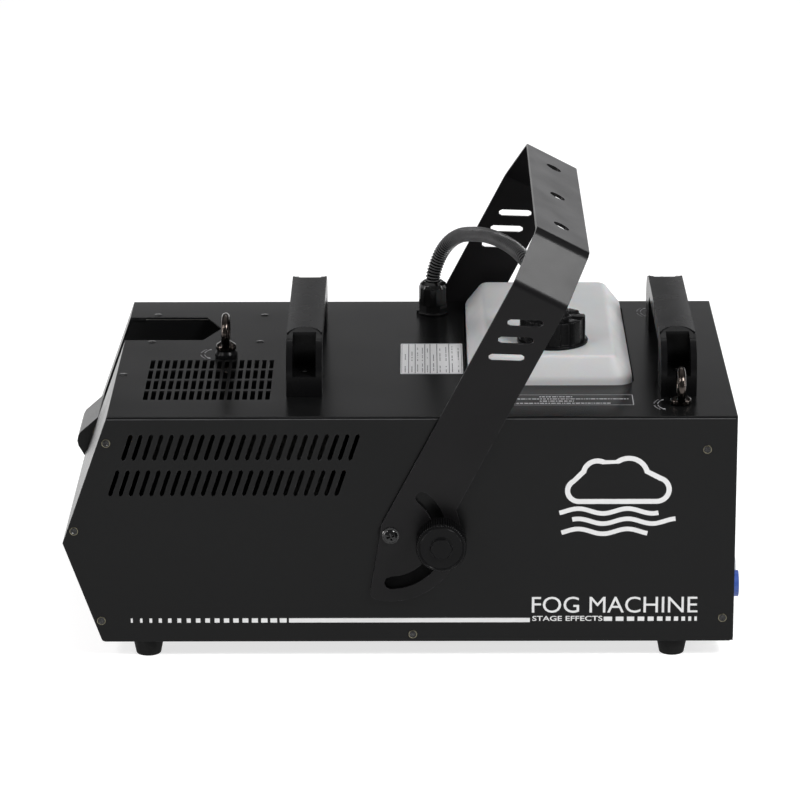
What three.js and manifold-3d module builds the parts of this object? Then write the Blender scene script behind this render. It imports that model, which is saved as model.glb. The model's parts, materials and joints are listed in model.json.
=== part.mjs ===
// Fog machine: a sheet-metal case with a heater and a pump, a translucent fluid can that sits in a well of
// the top plate, a corrugated suction hose, two carrying handles and a hanging yoke clamped by two knobs.
// Units are millimetres. +Z is up, the fog leaves towards -X and the connectors are on the +X face.
// The origin is on the floor, under the middle of the whole object's bounding box.
// "Left" is the -Y side and "right" the +Y side, as seen by someone who stands behind the machine.
import * as THREE from 'three';
import { mergeVertices } from 'three/addons/utils/BufferGeometryUtils.js';
import Module from 'manifold-3d';

const wasm = await Module();
wasm.setup();

// ---------------------------------------------------------------- driving dimensions
const SHEET = 1.5; // case sheet thickness
const GAP = 0.3; // clearance left between pieces that touch
const FOOT_HEIGHT = 17;
const BODY_WIDTH = 386;
const BODY_TOP = 238; // top plate above the floor
const REAR_X = 312.5; // outside of the rear panel
const FRONT_TOP_X = -270.5; // front edge of the top plate
const NOSE_X = -314.5; // where the two front slopes meet
const NOSE_Z = 115;
const FRONT_BOTTOM_X = -279.5;

const HALF = BODY_WIDTH / 2;
const INNER_HALF = HALF - SHEET - GAP; // half width of what fits between the cover's sides
const UNDER_TOP = BODY_TOP - SHEET - GAP; // top of what sits under the top plate
const TRAY_FLOOR = FOOT_HEIGHT + SHEET + GAP; // underside of the tray's floor
const ON_TRAY = TRAY_FLOOR + SHEET + GAP; // underside of what stands on the tray
const SLOPE = (FRONT_TOP_X - NOSE_X) / (BODY_TOP - NOSE_Z); // run over rise of the upper front slope

const PIVOT = { x: -8.5, z: 124 };
const YOKE_SHEET = 3;
const YOKE_OUTSIDE = HALF + 5; // outer face of each arm
const YOKE_LEAN = THREE.MathUtils.degToRad(27.5);
const YOKE_BEND = 269.5; // height of the arms' upper bend above the pivot
const YOKE_TOP = 316.5; // height of the crossbar above the pivot
const YOKE_TOP_HALF = 163;
const YOKE_ARM = { from: -12.2, to: 42.6 }; // arm's width, across the pivot line
const CLAMP_RADIUS = 47; // middle of the arm's curved slot, from the pivot
const CLAMP = { x: PIVOT.x + CLAMP_RADIUS, z: PIVOT.z - 2 }; // axis of the knobs and their studs
const STUD_RADIUS = 4;
const STUD_HOLE = 4.3;

const TANK = { x0: 65, x1: 220.5, y0: -93.5, y1: 179, top: 264.5, shoulder: 244, wall: 1.5 };
const CAP = { x: 146, y: -38, bottom: 265, top: 290 };
const GLAND = { x: 32.5, y: 149, height: 34, radius: 14.3 };
const NOTCH = { x: -193.5, tip: -177.5, y0: 56, y1: 135, bottom: 159 };
const HEATER = { x0: -258, x1: -62, y0: 62, y1: 130, z0: 66, z1: 148 };
const HANDLE = { width: 33.5, half: 130.5, height: 55, positions: { front: -89.5, rear: 261.6 } };
const EYES = {
  front: { x: -168.5, y: 0, lift: 7 },
  rear_left: { x: 262, y: -153, lift: 0 },
  rear_right: { x: 262, y: 153, lift: 0 },
};
const FEET = { front: -237.5, rear: 256, y: 175 };

// ---------------------------------------------------------------- materials
const finish = (color, roughness, metalness = 0, more = {}) =>
  new THREE.MeshStandardMaterial({ color, roughness, metalness, ...more });
const MATERIAL = {
  paint: finish(0x232325, 0.55, 0.3),
  yokePaint: finish(0x1d1d1f, 0.5, 0.3),
  plastic: finish(0x141416, 0.45),
  rubber: finish(0x0c0c0c, 0.9),
  tank: finish(0xe6e8ea, 0.4, 0, { transparent: true, opacity: 0.85 }),
  hose: finish(0x0e0e0f, 0.5),
  steel: finish(0x9a9a98, 0.35, 1),
  darkSteel: finish(0x3a3633, 0.3, 1),
  aluminium: finish(0xb4b6b8, 0.4, 1),
  brass: finish(0xb08d4a, 0.35, 1),
  copper: finish(0xb87346, 0.35, 1),
  wool: finish(0x3a3834, 0.95),
  casting: finish(0x55565a, 0.6, 1),
  board: finish(0x1f5a34, 0.6),
  blue: finish(0x1c4fb0, 0.4),
  grey: finish(0x9b9ea3, 0.5),
  screen: finish(0x10202c, 0.2),
  red: finish(0xa01818, 0.35),
};

// ---------------------------------------------------------------- shapes and solids
const shapeOf = (points) => new THREE.Shape(points.map(([a, b]) => new THREE.Vector2(a, b)));
const rectangle = (a0, a1, b0, b1) => [[a0, b0], [a1, b0], [a1, b1], [a0, b1]];

// Points of an arc about (a, b); angles in degrees.
function arc(a, b, radius, from, to, steps, radiusB = radius) {
  return Array.from({ length: steps + 1 }, (_, i) => {
    const angle = THREE.MathUtils.degToRad(from + ((to - from) * i) / steps);
    return [a + radius * Math.cos(angle), b + radiusB * Math.sin(angle)];
  });
}
const circle = (a, b, radius, sides = 24) => arc(a, b, radius, 0, 360, sides).slice(0, sides);

// A stadium between two end centres.
function slot(a0, b0, a1, b1, width, steps = 2) {
  const turn = THREE.MathUtils.radToDeg(Math.atan2(b1 - b0, a1 - a0));
  return [
    ...arc(a1, b1, width / 2, turn - 90, turn + 90, steps),
    ...arc(a0, b0, width / 2, turn + 90, turn + 270, steps),
  ];
}

// Rounds the corners of a line of points. The radius is one number, or a function of the corner's index.
function rounded(points, radius, steps = 3, closed = true) {
  const out = [];
  points.forEach((p, i) => {
    const r = typeof radius === 'function' ? radius(i) : radius;
    const open = !closed && (i === 0 || i === points.length - 1);
    if (open || !r) {
      out.push(p);
      return;
    }
    const corner = new THREE.Vector2(...p);
    const count = points.length;
    const towards = (k) => new THREE.Vector2(...points[(k + count) % count]).sub(corner).normalize();
    const before = towards(i - 1);
    const after = towards(i + 1);
    const halfAngle = Math.acos(before.dot(after)) / 2;
    const reach = r / Math.tan(halfAngle);
    const centre = before.clone().add(after).normalize().multiplyScalar(r / Math.sin(halfAngle)).add(corner);
    const start = before.multiplyScalar(reach).add(corner).sub(centre);
    const end = after.multiplyScalar(reach).add(corner).sub(centre);
    let sweep = end.angle() - start.angle();
    if (sweep > Math.PI) sweep -= 2 * Math.PI;
    if (sweep < -Math.PI) sweep += 2 * Math.PI;
    for (let k = 0; k <= steps; k++) {
      const q = start.clone().rotateAround(new THREE.Vector2(), (sweep * k) / steps).add(centre);
      out.push([q.x, q.y]);
    }
  });
  return out;
}

// The cross-section of a bent sheet: a line of points, and the same line moved to its right by the thickness.
function bentSheet(points, thickness = SHEET) {
  const line = points.map(([a, b]) => new THREE.Vector2(a, b));
  const rightOf = (i) => {
    const along = line[i + 1].clone().sub(line[i]).normalize();
    return new THREE.Vector2(along.y, -along.x);
  };
  const moved = line.map((p, i) => {
    const n0 = rightOf(Math.max(i - 1, 0));
    const n1 = rightOf(Math.min(i, line.length - 2));
    const mitre = n0.clone().add(n1).normalize();
    return mitre.multiplyScalar(thickness / mitre.dot(n1)).add(p);
  });
  return [...points, ...moved.reverse().map((p) => [p.x, p.y])];
}

const AXES = {
  X: [new THREE.Vector3(0, 1, 0), new THREE.Vector3(0, 0, 1), new THREE.Vector3(1, 0, 0)],
  Y: [new THREE.Vector3(1, 0, 0), new THREE.Vector3(0, 0, 1), new THREE.Vector3(0, -1, 0)],
  Z: [new THREE.Vector3(1, 0, 0), new THREE.Vector3(0, 1, 0), new THREE.Vector3(0, 0, 1)],
};

// A geometry as a manifold-3d solid, without the degenerate triangles of a lathe's poles.
function solidOf(geometry) {
  const bare = geometry.index ? geometry.toNonIndexed() : geometry.clone();
  bare.deleteAttribute('normal');
  bare.deleteAttribute('uv');
  const merged = mergeVertices(bare, 1e-4);
  const index = merged.index.array;
  const kept = [];
  for (let i = 0; i < index.length; i += 3) {
    const [a, b, c] = index.slice(i, i + 3);
    if (a !== b && b !== c && c !== a) kept.push(a, b, c);
  }
  const vertProperties = merged.attributes.position.array;
  return new wasm.Manifold(new wasm.Mesh({ numProp: 3, vertProperties, triVerts: new Uint32Array(kept) }));
}

// An outline extruded along an axis. The outline lies in (y, z) for X, (x, z) for Y and (x, y) for Z.
function prism(axis, points, from, to) {
  const geometry = new THREE.ExtrudeGeometry(shapeOf(points), { depth: to - from, bevelEnabled: false });
  geometry.applyMatrix4(new THREE.Matrix4().makeBasis(...AXES[axis]));
  const start = axis === 'Y' ? -to : from;
  geometry.translate(...AXES[axis][2].clone().multiplyScalar(start).toArray());
  return solidOf(geometry);
}

const box = (x0, x1, y0, y1, z0, z1) => prism('Z', rectangle(x0, x1, y0, y1), z0, z1);
const rod = (axis, a, b, radius, from, to, sides = 24) => prism(axis, circle(a, b, radius, sides), from, to);

// A turned solid about the Z axis through (x, y), from [radius, z] points that start and end on the axis.
function turned(x, y, profile, sides = 24) {
  const geometry = new THREE.LatheGeometry(profile.map(([r, z]) => new THREE.Vector2(r, z)), sides);
  geometry.rotateX(Math.PI / 2);
  geometry.translate(x, y, 0);
  return solidOf(geometry);
}

// The same about an X axis through (y, z), from [radius, x] points.
function turnedX(y, z, profile, sides = 24) {
  const geometry = new THREE.LatheGeometry(profile.map(([r, x]) => new THREE.Vector2(r, x)), sides);
  geometry.rotateX(Math.PI / 2);
  geometry.rotateY(Math.PI / 2);
  geometry.translate(0, y, z);
  return solidOf(geometry);
}

// A round tube or cord along a curve through points.
function sweep(points, radius, sides, steps) {
  const path = new THREE.CatmullRomCurve3(points.map((p) => new THREE.Vector3(...p)), false, 'centripetal');
  const section = shapeOf(circle(0, 0, radius, sides));
  return solidOf(new THREE.ExtrudeGeometry(section, { steps, extrudePath: path, bevelEnabled: false }));
}

const join = (...solids) => solids.reduce((all, s) => all.add(s));
const cut = (solid, ...tools) => tools.reduce((rest, tool) => rest.subtract(tool), solid);
const mirrored = (solid) => solid.mirror([0, 1, 0]);

const machine = new THREE.Group();
machine.name = 'fog_machine';

function add(name, solid, material, parent = machine) {
  const { vertProperties, triVerts } = solid.getMesh();
  const geometry = new THREE.BufferGeometry();
  geometry.setAttribute('position', new THREE.BufferAttribute(vertProperties, 3));
  geometry.setIndex(new THREE.BufferAttribute(triVerts, 1));
  geometry.computeVertexNormals();
  const mesh = new THREE.Mesh(geometry, material);
  mesh.name = name;
  parent.add(mesh);
  return mesh;
}

// ---------------------------------------------------------------- case
const LEFT = -1;
const RIGHT = 1;
const SIDES = { left: LEFT, right: RIGHT };
const BOTH_SIDES = HALF + 20; // half length of a cutter that passes through both side walls

const sideOutline = rounded(
  [
    [FRONT_TOP_X, BODY_TOP],
    [NOSE_X, NOSE_Z],
    [FRONT_BOTTOM_X, FOOT_HEIGHT],
    [REAR_X, FOOT_HEIGHT],
    [REAR_X, BODY_TOP],
  ],
  (i) => (i === 2 || i === 3 ? 4 : 0),
);

// Outlet notch in the top plate, with its pointed rear end.
const notchOutline = [
  [FRONT_TOP_X - 10, NOTCH.y0],
  [NOTCH.x, NOTCH.y0],
  [NOTCH.tip, (NOTCH.y0 + NOTCH.y1) / 2],
  [NOTCH.x, NOTCH.y1],
  [FRONT_TOP_X - 10, NOTCH.y1],
];

function makeCover() {
  const bendRadius = 2.1;
  const section = rounded(
    [[-HALF, 0], [-HALF, BODY_TOP], [HALF, BODY_TOP], [HALF, 0]], bendRadius, 3, false,
  );
  let cover = prism('X', bentSheet(section), NOSE_X - 5, REAR_X);
  cover = cover.intersect(prism('Y', sideOutline, -BOTH_SIDES, BOTH_SIDES));

  // Two rows of slanted vents through both sides.
  const vent = { count: 23, pitch: 9.55, width: 4, run: -7.5, fall: -22.3 };
  for (const [x, z] of [[-248.4, 219.9], [-261.3, 185.1]])
    for (let i = 0; i < vent.count; i++) {
      const top = x + i * vent.pitch;
      const outline = slot(top + vent.run, z + vent.fall, top, z, vent.width);
      cover = cut(cover, prism('Y', outline, -BOTH_SIDES, BOTH_SIDES));
    }

  // Four rows of slots over the heater.
  const grille = {
    columns: 17, rows: 4, x: -240.5, y: -138.7, pitchX: 7.16, pitchY: 33.1, width: 4.4, length: 28,
  };
  for (let row = 0; row < grille.rows; row++)
    for (let column = 0; column < grille.columns; column++) {
      const x = grille.x + column * grille.pitchX;
      const y = grille.y + row * grille.pitchY;
      cover = cut(cover, box(x, x + grille.width, y, y + grille.length, BODY_TOP - 5, BODY_TOP + 5));
    }

  const through = [BODY_TOP - 5, BODY_TOP + 5];
  const wellGap = 2;
  const wellCorner = 18;
  const well = rounded(
    rectangle(TANK.x0 - wellGap, TANK.x1 + wellGap, TANK.y0 - wellGap, TANK.y1 + wellGap), wellCorner, 5,
  );
  cover = cut(
    cover,
    prism('Z', well, ...through),
    prism('Z', notchOutline, ...through),
    rod('Z', GLAND.x, GLAND.y, 8.3, ...through, 20),
    rod('Y', PIVOT.x, PIVOT.z, STUD_HOLE, -BOTH_SIDES, BOTH_SIDES, 16),
    rod('Y', CLAMP.x, CLAMP.z, STUD_HOLE, -BOTH_SIDES, BOTH_SIDES, 16),
    ...Object.values(EYES).map((eye) => rod('Z', eye.x, eye.y, STUD_HOLE, ...through, 16)),
  );
  return cover;
}
add('cover', makeCover(), MATERIAL.paint);

function makeBaseTray() {
  const flange = 26;
  const section = [
    [-INNER_HALF, TRAY_FLOOR + flange],
    [-INNER_HALF, TRAY_FLOOR],
    [INNER_HALF, TRAY_FLOOR],
    [INNER_HALF, TRAY_FLOOR + flange],
  ];
  return prism('X', bentSheet(section.reverse()), FRONT_BOTTOM_X + SHEET + GAP, REAR_X - SHEET - GAP);
}
add('base_tray', makeBaseTray(), MATERIAL.paint);

const PANEL_FLANGE = 16;
const nozzleAxis = { y: (HEATER.y0 + HEATER.y1) / 2, z: 134 };

function makeFrontPanel() {
  const flangeTopX = FRONT_TOP_X - SLOPE * (BODY_TOP - UNDER_TOP);
  const section = [
    [FRONT_BOTTOM_X + PANEL_FLANGE, FOOT_HEIGHT],
    [FRONT_BOTTOM_X, FOOT_HEIGHT],
    [NOSE_X, NOSE_Z],
    [flangeTopX, UNDER_TOP],
    [flangeTopX + PANEL_FLANGE, UNDER_TOP],
  ];
  return cut(
    prism('Y', bentSheet(rounded(section, (i) => (i === 1 ? 4 : 0), 3, false)), -INNER_HALF, INNER_HALF),
    box(NOSE_X, FRONT_TOP_X + PANEL_FLANGE + 5, NOTCH.y0, NOTCH.y1, NOTCH.bottom, BODY_TOP),
    rod('X', nozzleAxis.y, nozzleAxis.z, 15, NOSE_X - 5, FRONT_TOP_X, 20),
  );
}
add('front_panel', makeFrontPanel(), MATERIAL.paint);

// Open-topped channel under the notch. Its side flanges hang from the top plate.
function makeOutletChute() {
  const clear = 2; // channel's clearance beside the notch
  const flange = 14;
  const floor = NOTCH.bottom + 2.5;
  const [y0, y1] = [NOTCH.y0 - clear, NOTCH.y1 + clear];
  const section = [
    [y0 - flange, UNDER_TOP], [y0, UNDER_TOP], [y0, floor],
    [y1, floor], [y1, UNDER_TOP], [y1 + flange, UNDER_TOP],
  ];
  const backX = NOTCH.tip + 16;
  const endX = -125;
  const frontFlangeEnd = FRONT_TOP_X + PANEL_FLANGE + 3;
  const slopeInset = 2.2;
  const innerSlope = (z) => FRONT_TOP_X - SLOPE * (BODY_TOP - z) + slopeInset;
  const belowFlange = UNDER_TOP - SHEET - GAP;
  const side = [
    [innerSlope(floor - 10), floor - 10],
    [endX, floor - 10],
    [endX, BODY_TOP],
    [frontFlangeEnd, BODY_TOP],
    [frontFlangeEnd, belowFlange],
    [innerSlope(belowFlange), belowFlange],
  ];
  const channel = prism('X', bentSheet(section), NOSE_X, endX).intersect(prism('Y', side, -HALF, HALF));
  return join(channel, box(backX, backX + SHEET, y0 - 0.5, y1 + 0.5, floor - 0.5, UNDER_TOP - 4));
}
add('outlet_chute', makeOutletChute(), MATERIAL.paint);

// Hood over the nozzle on the upper front slope, with upright slits in its nose.
function makeOutletHood() {
  const wall = 2;
  const off = GAP * Math.hypot(1, SLOPE);
  const slopeX = (z) => FRONT_TOP_X - SLOPE * (BODY_TOP - z) - off;
  const [y0, y1] = [57.5, 131];
  const [low, high] = [118.5, 158.5];
  const nose = { x: -320.5, z: 133.5 };
  const outer = [
    [slopeX(high), high], [-317.4, 142.6], [-319.6, 138.5],
    [nose.x, nose.z], [-319.4, 128.5], [slopeX(low), low],
  ];
  const inner = [
    [slopeX(high - 5) + 1, high - 5], [-315.6, 141.2], [-317.6, 137.6], [-318.3, 133.5], [-317.4, 129.6],
    [slopeX(low + 5) - 0.2, low + 5], [slopeX(low + 5) + 1, low + 5],
  ];
  let hood = cut(prism('Y', outer, y0, y1), prism('Y', inner, y0 + wall, y1 - wall));
  const slits = 11;
  const pitch = (y1 - y0 - 2 * wall) / slits;
  for (let i = 0; i < slits; i++) {
    const y = y0 + wall + (i + 0.5) * pitch;
    hood = cut(hood, box(nose.x - 2, -316, y - 1.6, y + 1.6, 127, 140.5));
  }
  return hood;
}
add('outlet_hood', makeOutletHood(), MATERIAL.paint);

function makeRearPanel(cutters) {
  const section = [
    [REAR_X - PANEL_FLANGE, UNDER_TOP], [REAR_X, UNDER_TOP],
    [REAR_X, FOOT_HEIGHT], [REAR_X - PANEL_FLANGE, FOOT_HEIGHT],
  ];
  return cut(prism('Y', bentSheet(section), -INNER_HALF, INNER_HALF), ...cutters);
}

for (const [end, x] of Object.entries({ front: FEET.front, rear: FEET.rear }))
  for (const [side, sign] of Object.entries(SIDES)) {
    const top = TRAY_FLOOR - GAP;
    const profile = [[0, 0], [11.5, 0], [14.5, FOOT_HEIGHT - 1], [14.5, top], [0, top]];
    add(`foot_${end}_${side}`, turned(x, sign * FEET.y, profile, 16), MATERIAL.rubber);
  }

// ---------------------------------------------------------------- handles
// An arch with a flat grip. Each leg has an open pocket for its screw, under a dish that slopes outwards.
function makeHandle(x) {
  const base = BODY_TOP + GAP;
  const block = 19; // solid height of each leg's foot
  const slabUnder = 50; // top of the pockets
  const gripEnd = 97;
  const archCentre = 104;
  const dish = { radius: 15.8, y: 100.8, start: 85, end: slabUnder + 2.9 };
  const pocket = { halfWidth: 11, inner: 86, openFrom: 95 };
  const arch = arc(-archCentre, block, HANDLE.half - archCentre, 180, 94.3, 7, slabUnder - block);
  const half = [[-HANDLE.half, 0], ...arch, [-gripEnd, dish.end], [-gripEnd, HANDLE.height]];
  const outline = [...half, ...half.map(([y, z]) => [-y, z]).reverse()].map(([y, z]) => [y, z + base]);
  const gapHalf = 82;
  const gripUnder = 38;
  const finger = rounded(rectangle(-gapHalf, gapHalf, -20, gripUnder), (i) => (i > 1 ? 12 : 0), 4)
    .map(([y, z]) => [y, z + base]);
  let handle = cut(
    prism('X', outline, x - HANDLE.width / 2, x + HANDLE.width / 2),
    prism('X', finger, x - HANDLE.width, x + HANDLE.width),
  );
  for (const sign of [LEFT, RIGHT]) {
    const outside = HANDLE.half + 5;
    const above = base + HANDLE.height + 5;
    const overDish = [
      [sign * dish.start, above],
      [sign * dish.start, base + HANDLE.height],
      [sign * gripEnd, base + dish.end],
      [sign * gripEnd, above],
    ];
    const well = (from, bottom, top) => {
      const [y0, y1] = [sign * from, sign * outside].sort((a, b) => a - b);
      return box(x - pocket.halfWidth, x + pocket.halfWidth, y0, y1, base + bottom, top);
    };
    handle = cut(
      handle,
      well(pocket.inner, block, base + slabUnder),
      well(pocket.openFrom, slabUnder - 1, above),
      prism('X', sign === LEFT ? overDish : overDish.reverse(), x - HANDLE.width, x + HANDLE.width)
        .intersect(rod('Z', x, sign * dish.y, dish.radius, base, above, 28)),
    );
  }
  return handle;
}
for (const [end, x] of Object.entries(HANDLE.positions))
  add(`handle_${end}`, makeHandle(x), MATERIAL.plastic);

// ---------------------------------------------------------------- ring eyes of the cover's turn locks
function makeEye({ x, y, lift }) {
  const seat = BODY_TOP + GAP + (lift ? lift + GAP : 0);
  const ringRadius = 14;
  const wire = 4;
  const ring = new THREE.TorusGeometry(ringRadius, wire, 8, 20);
  ring.rotateY(Math.PI / 2);
  ring.translate(x, y, seat + ringRadius + wire);
  const shank = turned(x, y, [
    [0, BODY_TOP - 16], [STUD_RADIUS - 0.8, BODY_TOP - 16], [STUD_RADIUS, BODY_TOP - 15], [STUD_RADIUS, seat],
    [10, seat], [10, seat + 4.5], [8.6, seat + 6], [5, seat + 7.5], [0, seat + 7.5],
  ], 16);
  return join(solidOf(ring), shank);
}
for (const [place, eye] of Object.entries(EYES)) add(`lock_eye_${place}`, makeEye(eye), MATERIAL.darkSteel);

const bush = EYES.front;
add(
  'lock_bush_front',
  cut(
    rod('Z', bush.x, bush.y, 11, BODY_TOP + GAP, BODY_TOP + GAP + bush.lift, 20),
    rod('Z', bush.x, bush.y, STUD_HOLE, BODY_TOP, BODY_TOP + bush.lift + 5, 16),
  ),
  MATERIAL.plastic,
);

// ---------------------------------------------------------------- fluid can, cap and hose
// A can's outer form: a rounded box whose top slopes in on all four sides.
function canSolid(inset, bottom, shoulder, top) {
  const chamfer = top - shoulder;
  const stretch = 2; // the slope runs in twice as far along X as along Y
  const slopeRun = 16.5;
  const [x0, x1] = [TANK.x0 + inset, TANK.x1 - inset];
  const [y0, y1] = [TANK.y0 + inset, TANK.y1 - inset].map((y) => y * stretch);
  const outline = rounded(
    rectangle(x0 + slopeRun, x1 - slopeRun, y0 + slopeRun, y1 - slopeRun), 10, 4,
  );
  const geometry = new THREE.ExtrudeGeometry(shapeOf(outline), {
    depth: shoulder - bottom + chamfer,
    bevelSize: slopeRun,
    bevelThickness: chamfer,
    bevelSegments: 1,
  });
  geometry.scale(1, 1 / stretch, 1);
  geometry.translate(0, 0, bottom);
  return solidOf(geometry).intersect(box(x0 - 5, x1 + 5, -HALF, HALF, bottom, top));
}

const tankBottom = ON_TRAY + SHEET + GAP;
const neck = { outer: 25, inner: 21, top: CAP.bottom + 21 };
add(
  'fluid_tank',
  cut(
    join(
      canSolid(0, tankBottom, TANK.shoulder, TANK.top),
      rod('Z', CAP.x, CAP.y, neck.outer, TANK.top - 1, neck.top, 24),
    ),
    canSolid(TANK.wall, tankBottom + TANK.wall, TANK.shoulder - TANK.wall, TANK.top - TANK.wall),
    rod('Z', CAP.x, CAP.y, neck.inner, TANK.top - 5, neck.top + 5, 24),
  ),
  MATERIAL.tank,
);

// Screw cap with eight grip lugs and a boss for the hose.
function makeCap() {
  const lugs = 8;
  const lobe = (i) => 360 * (i / lugs);
  const skirt = Array.from({ length: lugs }, (_, i) => [
    ...arc(CAP.x, CAP.y, 31.3, lobe(i) - 11, lobe(i) + 11, 2),
    ...arc(CAP.x, CAP.y, 29.3, lobe(i) + 14, lobe(i) + 31, 2),
  ]).flat();
  const bossTop = CAP.top + 6;
  return cut(
    join(
      rod('Z', CAP.x, CAP.y, 34, CAP.bottom, CAP.bottom + 2.5, 32),
      prism('Z', skirt, CAP.bottom + 1, CAP.top),
      rod('Z', CAP.x, CAP.y, 16, CAP.top - 1, bossTop, 20),
    ),
    rod('Z', CAP.x, CAP.y, neck.outer + 0.6, CAP.bottom - 1, neck.top + GAP, 24),
    rod('Z', CAP.x, CAP.y, 8.5, CAP.top + 0.5, bossTop + 1, 16),
    rod('Z', CAP.x, CAP.y, 5.5, neck.top, CAP.top + 1, 16),
  );
}
add('tank_cap', makeCap(), MATERIAL.plastic);

const hoseEnd = CAP.top + 0.5 + GAP;
const dipTube = { outer: 5, inner: 3.2, bottom: tankBottom + 8, top: hoseEnd - 2 * GAP };
add(
  'dip_tube',
  cut(
    rod('Z', CAP.x, CAP.y, dipTube.outer, dipTube.bottom, dipTube.top, 12),
    rod('Z', CAP.x, CAP.y, dipTube.inner, dipTube.bottom - 1, dipTube.top + 1, 12),
  ),
  MATERIAL.tank,
);

// Hose from the gland, up, over and down into the cap's boss.
const hoseRoute = [
  [GLAND.x, GLAND.y, BODY_TOP + 24],
  [GLAND.x, GLAND.y, 276],
  [35.5, 148.5, 288],
  [41, 146, 302],
  [49, 138, 315],
  [59, 123, 325.5],
  [71, 101, 333],
  [84, 76, 338.5],
  [97, 49, 341],
  [110, 22, 340],
  [120.5, -2, 335.5],
  [130, -19, 327],
  [138.5, -30.5, 316],
  [144, -36.5, 304.5],
  [CAP.x, CAP.y, CAP.top + 6],
  [CAP.x, CAP.y, hoseEnd],
];
add('suction_hose', sweep(hoseRoute, 7.5, 10, 36), MATERIAL.hose);

const glandBodyTop = BODY_TOP + 10;
add(
  'gland_body',
  cut(
    join(
      rod('Z', GLAND.x, GLAND.y, 8, BODY_TOP - 14, BODY_TOP + 5, 20),
      rod('Z', GLAND.x, GLAND.y, GLAND.radius + 0.6, BODY_TOP + GAP, BODY_TOP + 2.5, 20),
      rod('Z', GLAND.x, GLAND.y, GLAND.radius - 0.3, BODY_TOP + 2, glandBodyTop, 6),
    ),
    rod('Z', GLAND.x, GLAND.y, 5.4, BODY_TOP - 20, glandBodyTop + 1, 16),
  ),
  MATERIAL.plastic,
);
const glandTop = BODY_TOP + GLAND.height;
add(
  'gland_nut',
  cut(
    turned(GLAND.x, GLAND.y, [
      [0, glandBodyTop + GAP], [GLAND.radius, glandBodyTop + GAP], [GLAND.radius, glandTop - 7],
      [GLAND.radius - 1.2, glandTop - 3], [GLAND.radius - 4, glandTop], [0, glandTop],
    ], 20),
    rod('Z', GLAND.x, GLAND.y, 7.9, BODY_TOP, glandTop + 1, 16),
  ),
  MATERIAL.plastic,
);

// Open tray that holds the can.
function makeCradle() {
  const play = 1;
  const rim = 34;
  const outline = (extra) =>
    rounded(
      rectangle(
        TANK.x0 - play - extra, TANK.x1 + play + extra,
        TANK.y0 - play - extra, TANK.y1 + play + extra,
      ),
      17 + extra,
      3,
    );
  return cut(
    prism('Z', outline(SHEET), ON_TRAY, ON_TRAY + rim),
    prism('Z', outline(0), ON_TRAY + SHEET, ON_TRAY + rim + 1),
  );
}
add('tank_cradle', makeCradle(), MATERIAL.aluminium);

// ---------------------------------------------------------------- hanging yoke and its clamps
// The yoke is drawn standing straight up from its pivot, then leaned back as one group.
const yoke = new THREE.Group();
yoke.position.set(PIVOT.x, 0, PIVOT.z);
yoke.rotation.y = YOKE_LEAN;
machine.add(yoke);

function makeYoke() {
  const bendRadius = 14;
  const section = rounded(
    [
      [-YOKE_OUTSIDE, -80],
      [-YOKE_OUTSIDE, YOKE_BEND],
      [-YOKE_TOP_HALF, YOKE_TOP],
      [YOKE_TOP_HALF, YOKE_TOP],
      [YOKE_OUTSIDE, YOKE_BEND],
      [YOKE_OUTSIDE, -80],
    ],
    bendRadius, 5, false,
  );
  const { from, to } = YOKE_ARM;
  const edgeRadius = 65.5;
  const upper = THREE.MathUtils.radToDeg(Math.acos(to / edgeRadius));
  const lowerEdge = arc(0, 0, edgeRadius, -70, upper, 14);
  const lowerCorner = rounded([[from, 6], [10.8, -64.1], lowerEdge[0]], 7, 4, false);
  const outline = [
    [to, YOKE_TOP + 5],
    [from, YOKE_TOP + 5],
    ...lowerCorner.slice(0, -1),
    ...lowerEdge,
  ];
  const slotFrom = -62.5;
  const slotTo = 79;
  const slotHalf = 6.3;
  const slotEnd = (at, start) => {
    const [[v, u]] = arc(0, 0, CLAMP_RADIUS, at, at, 1);
    return arc(v, u, slotHalf, start, start + 180, 4).slice(1, -1);
  };
  const clampSlot = [
    ...arc(0, 0, CLAMP_RADIUS + slotHalf, slotFrom, slotTo, 13),
    ...slotEnd(slotTo, slotTo),
    ...arc(0, 0, CLAMP_RADIUS - slotHalf, slotTo, slotFrom, 13),
    ...slotEnd(slotFrom, slotFrom + 180),
  ];
  const middle = (from + to) / 2;
  const louvre = { half: 13.4, width: 6.5, tilt: THREE.MathUtils.degToRad(25.5) };
  const [run, rise] = [louvre.half * Math.cos(louvre.tilt), louvre.half * Math.sin(louvre.tilt)];
  const reach = YOKE_OUTSIDE + 5;
  return cut(
    prism('X', bentSheet(section, YOKE_SHEET), -80, 80).intersect(prism('Y', outline, -reach, reach)),
    prism('Y', clampSlot, -reach, reach),
    rod('Y', 0, 0, STUD_HOLE, -reach, reach, 16),
    ...[202.5, 221, 239.5].map((height) =>
      prism(
        'Y',
        slot(middle - run, height - rise, middle + run, height + rise, louvre.width, 3),
        -reach, reach,
      ),
    ),
    ...[-110, 0, 110].map((y) => rod('Z', middle, y, 8, YOKE_TOP - 10, YOKE_TOP + 5, 20)),
  );
}
add('yoke_bracket', makeYoke(), MATERIAL.yokePaint, yoke);

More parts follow.
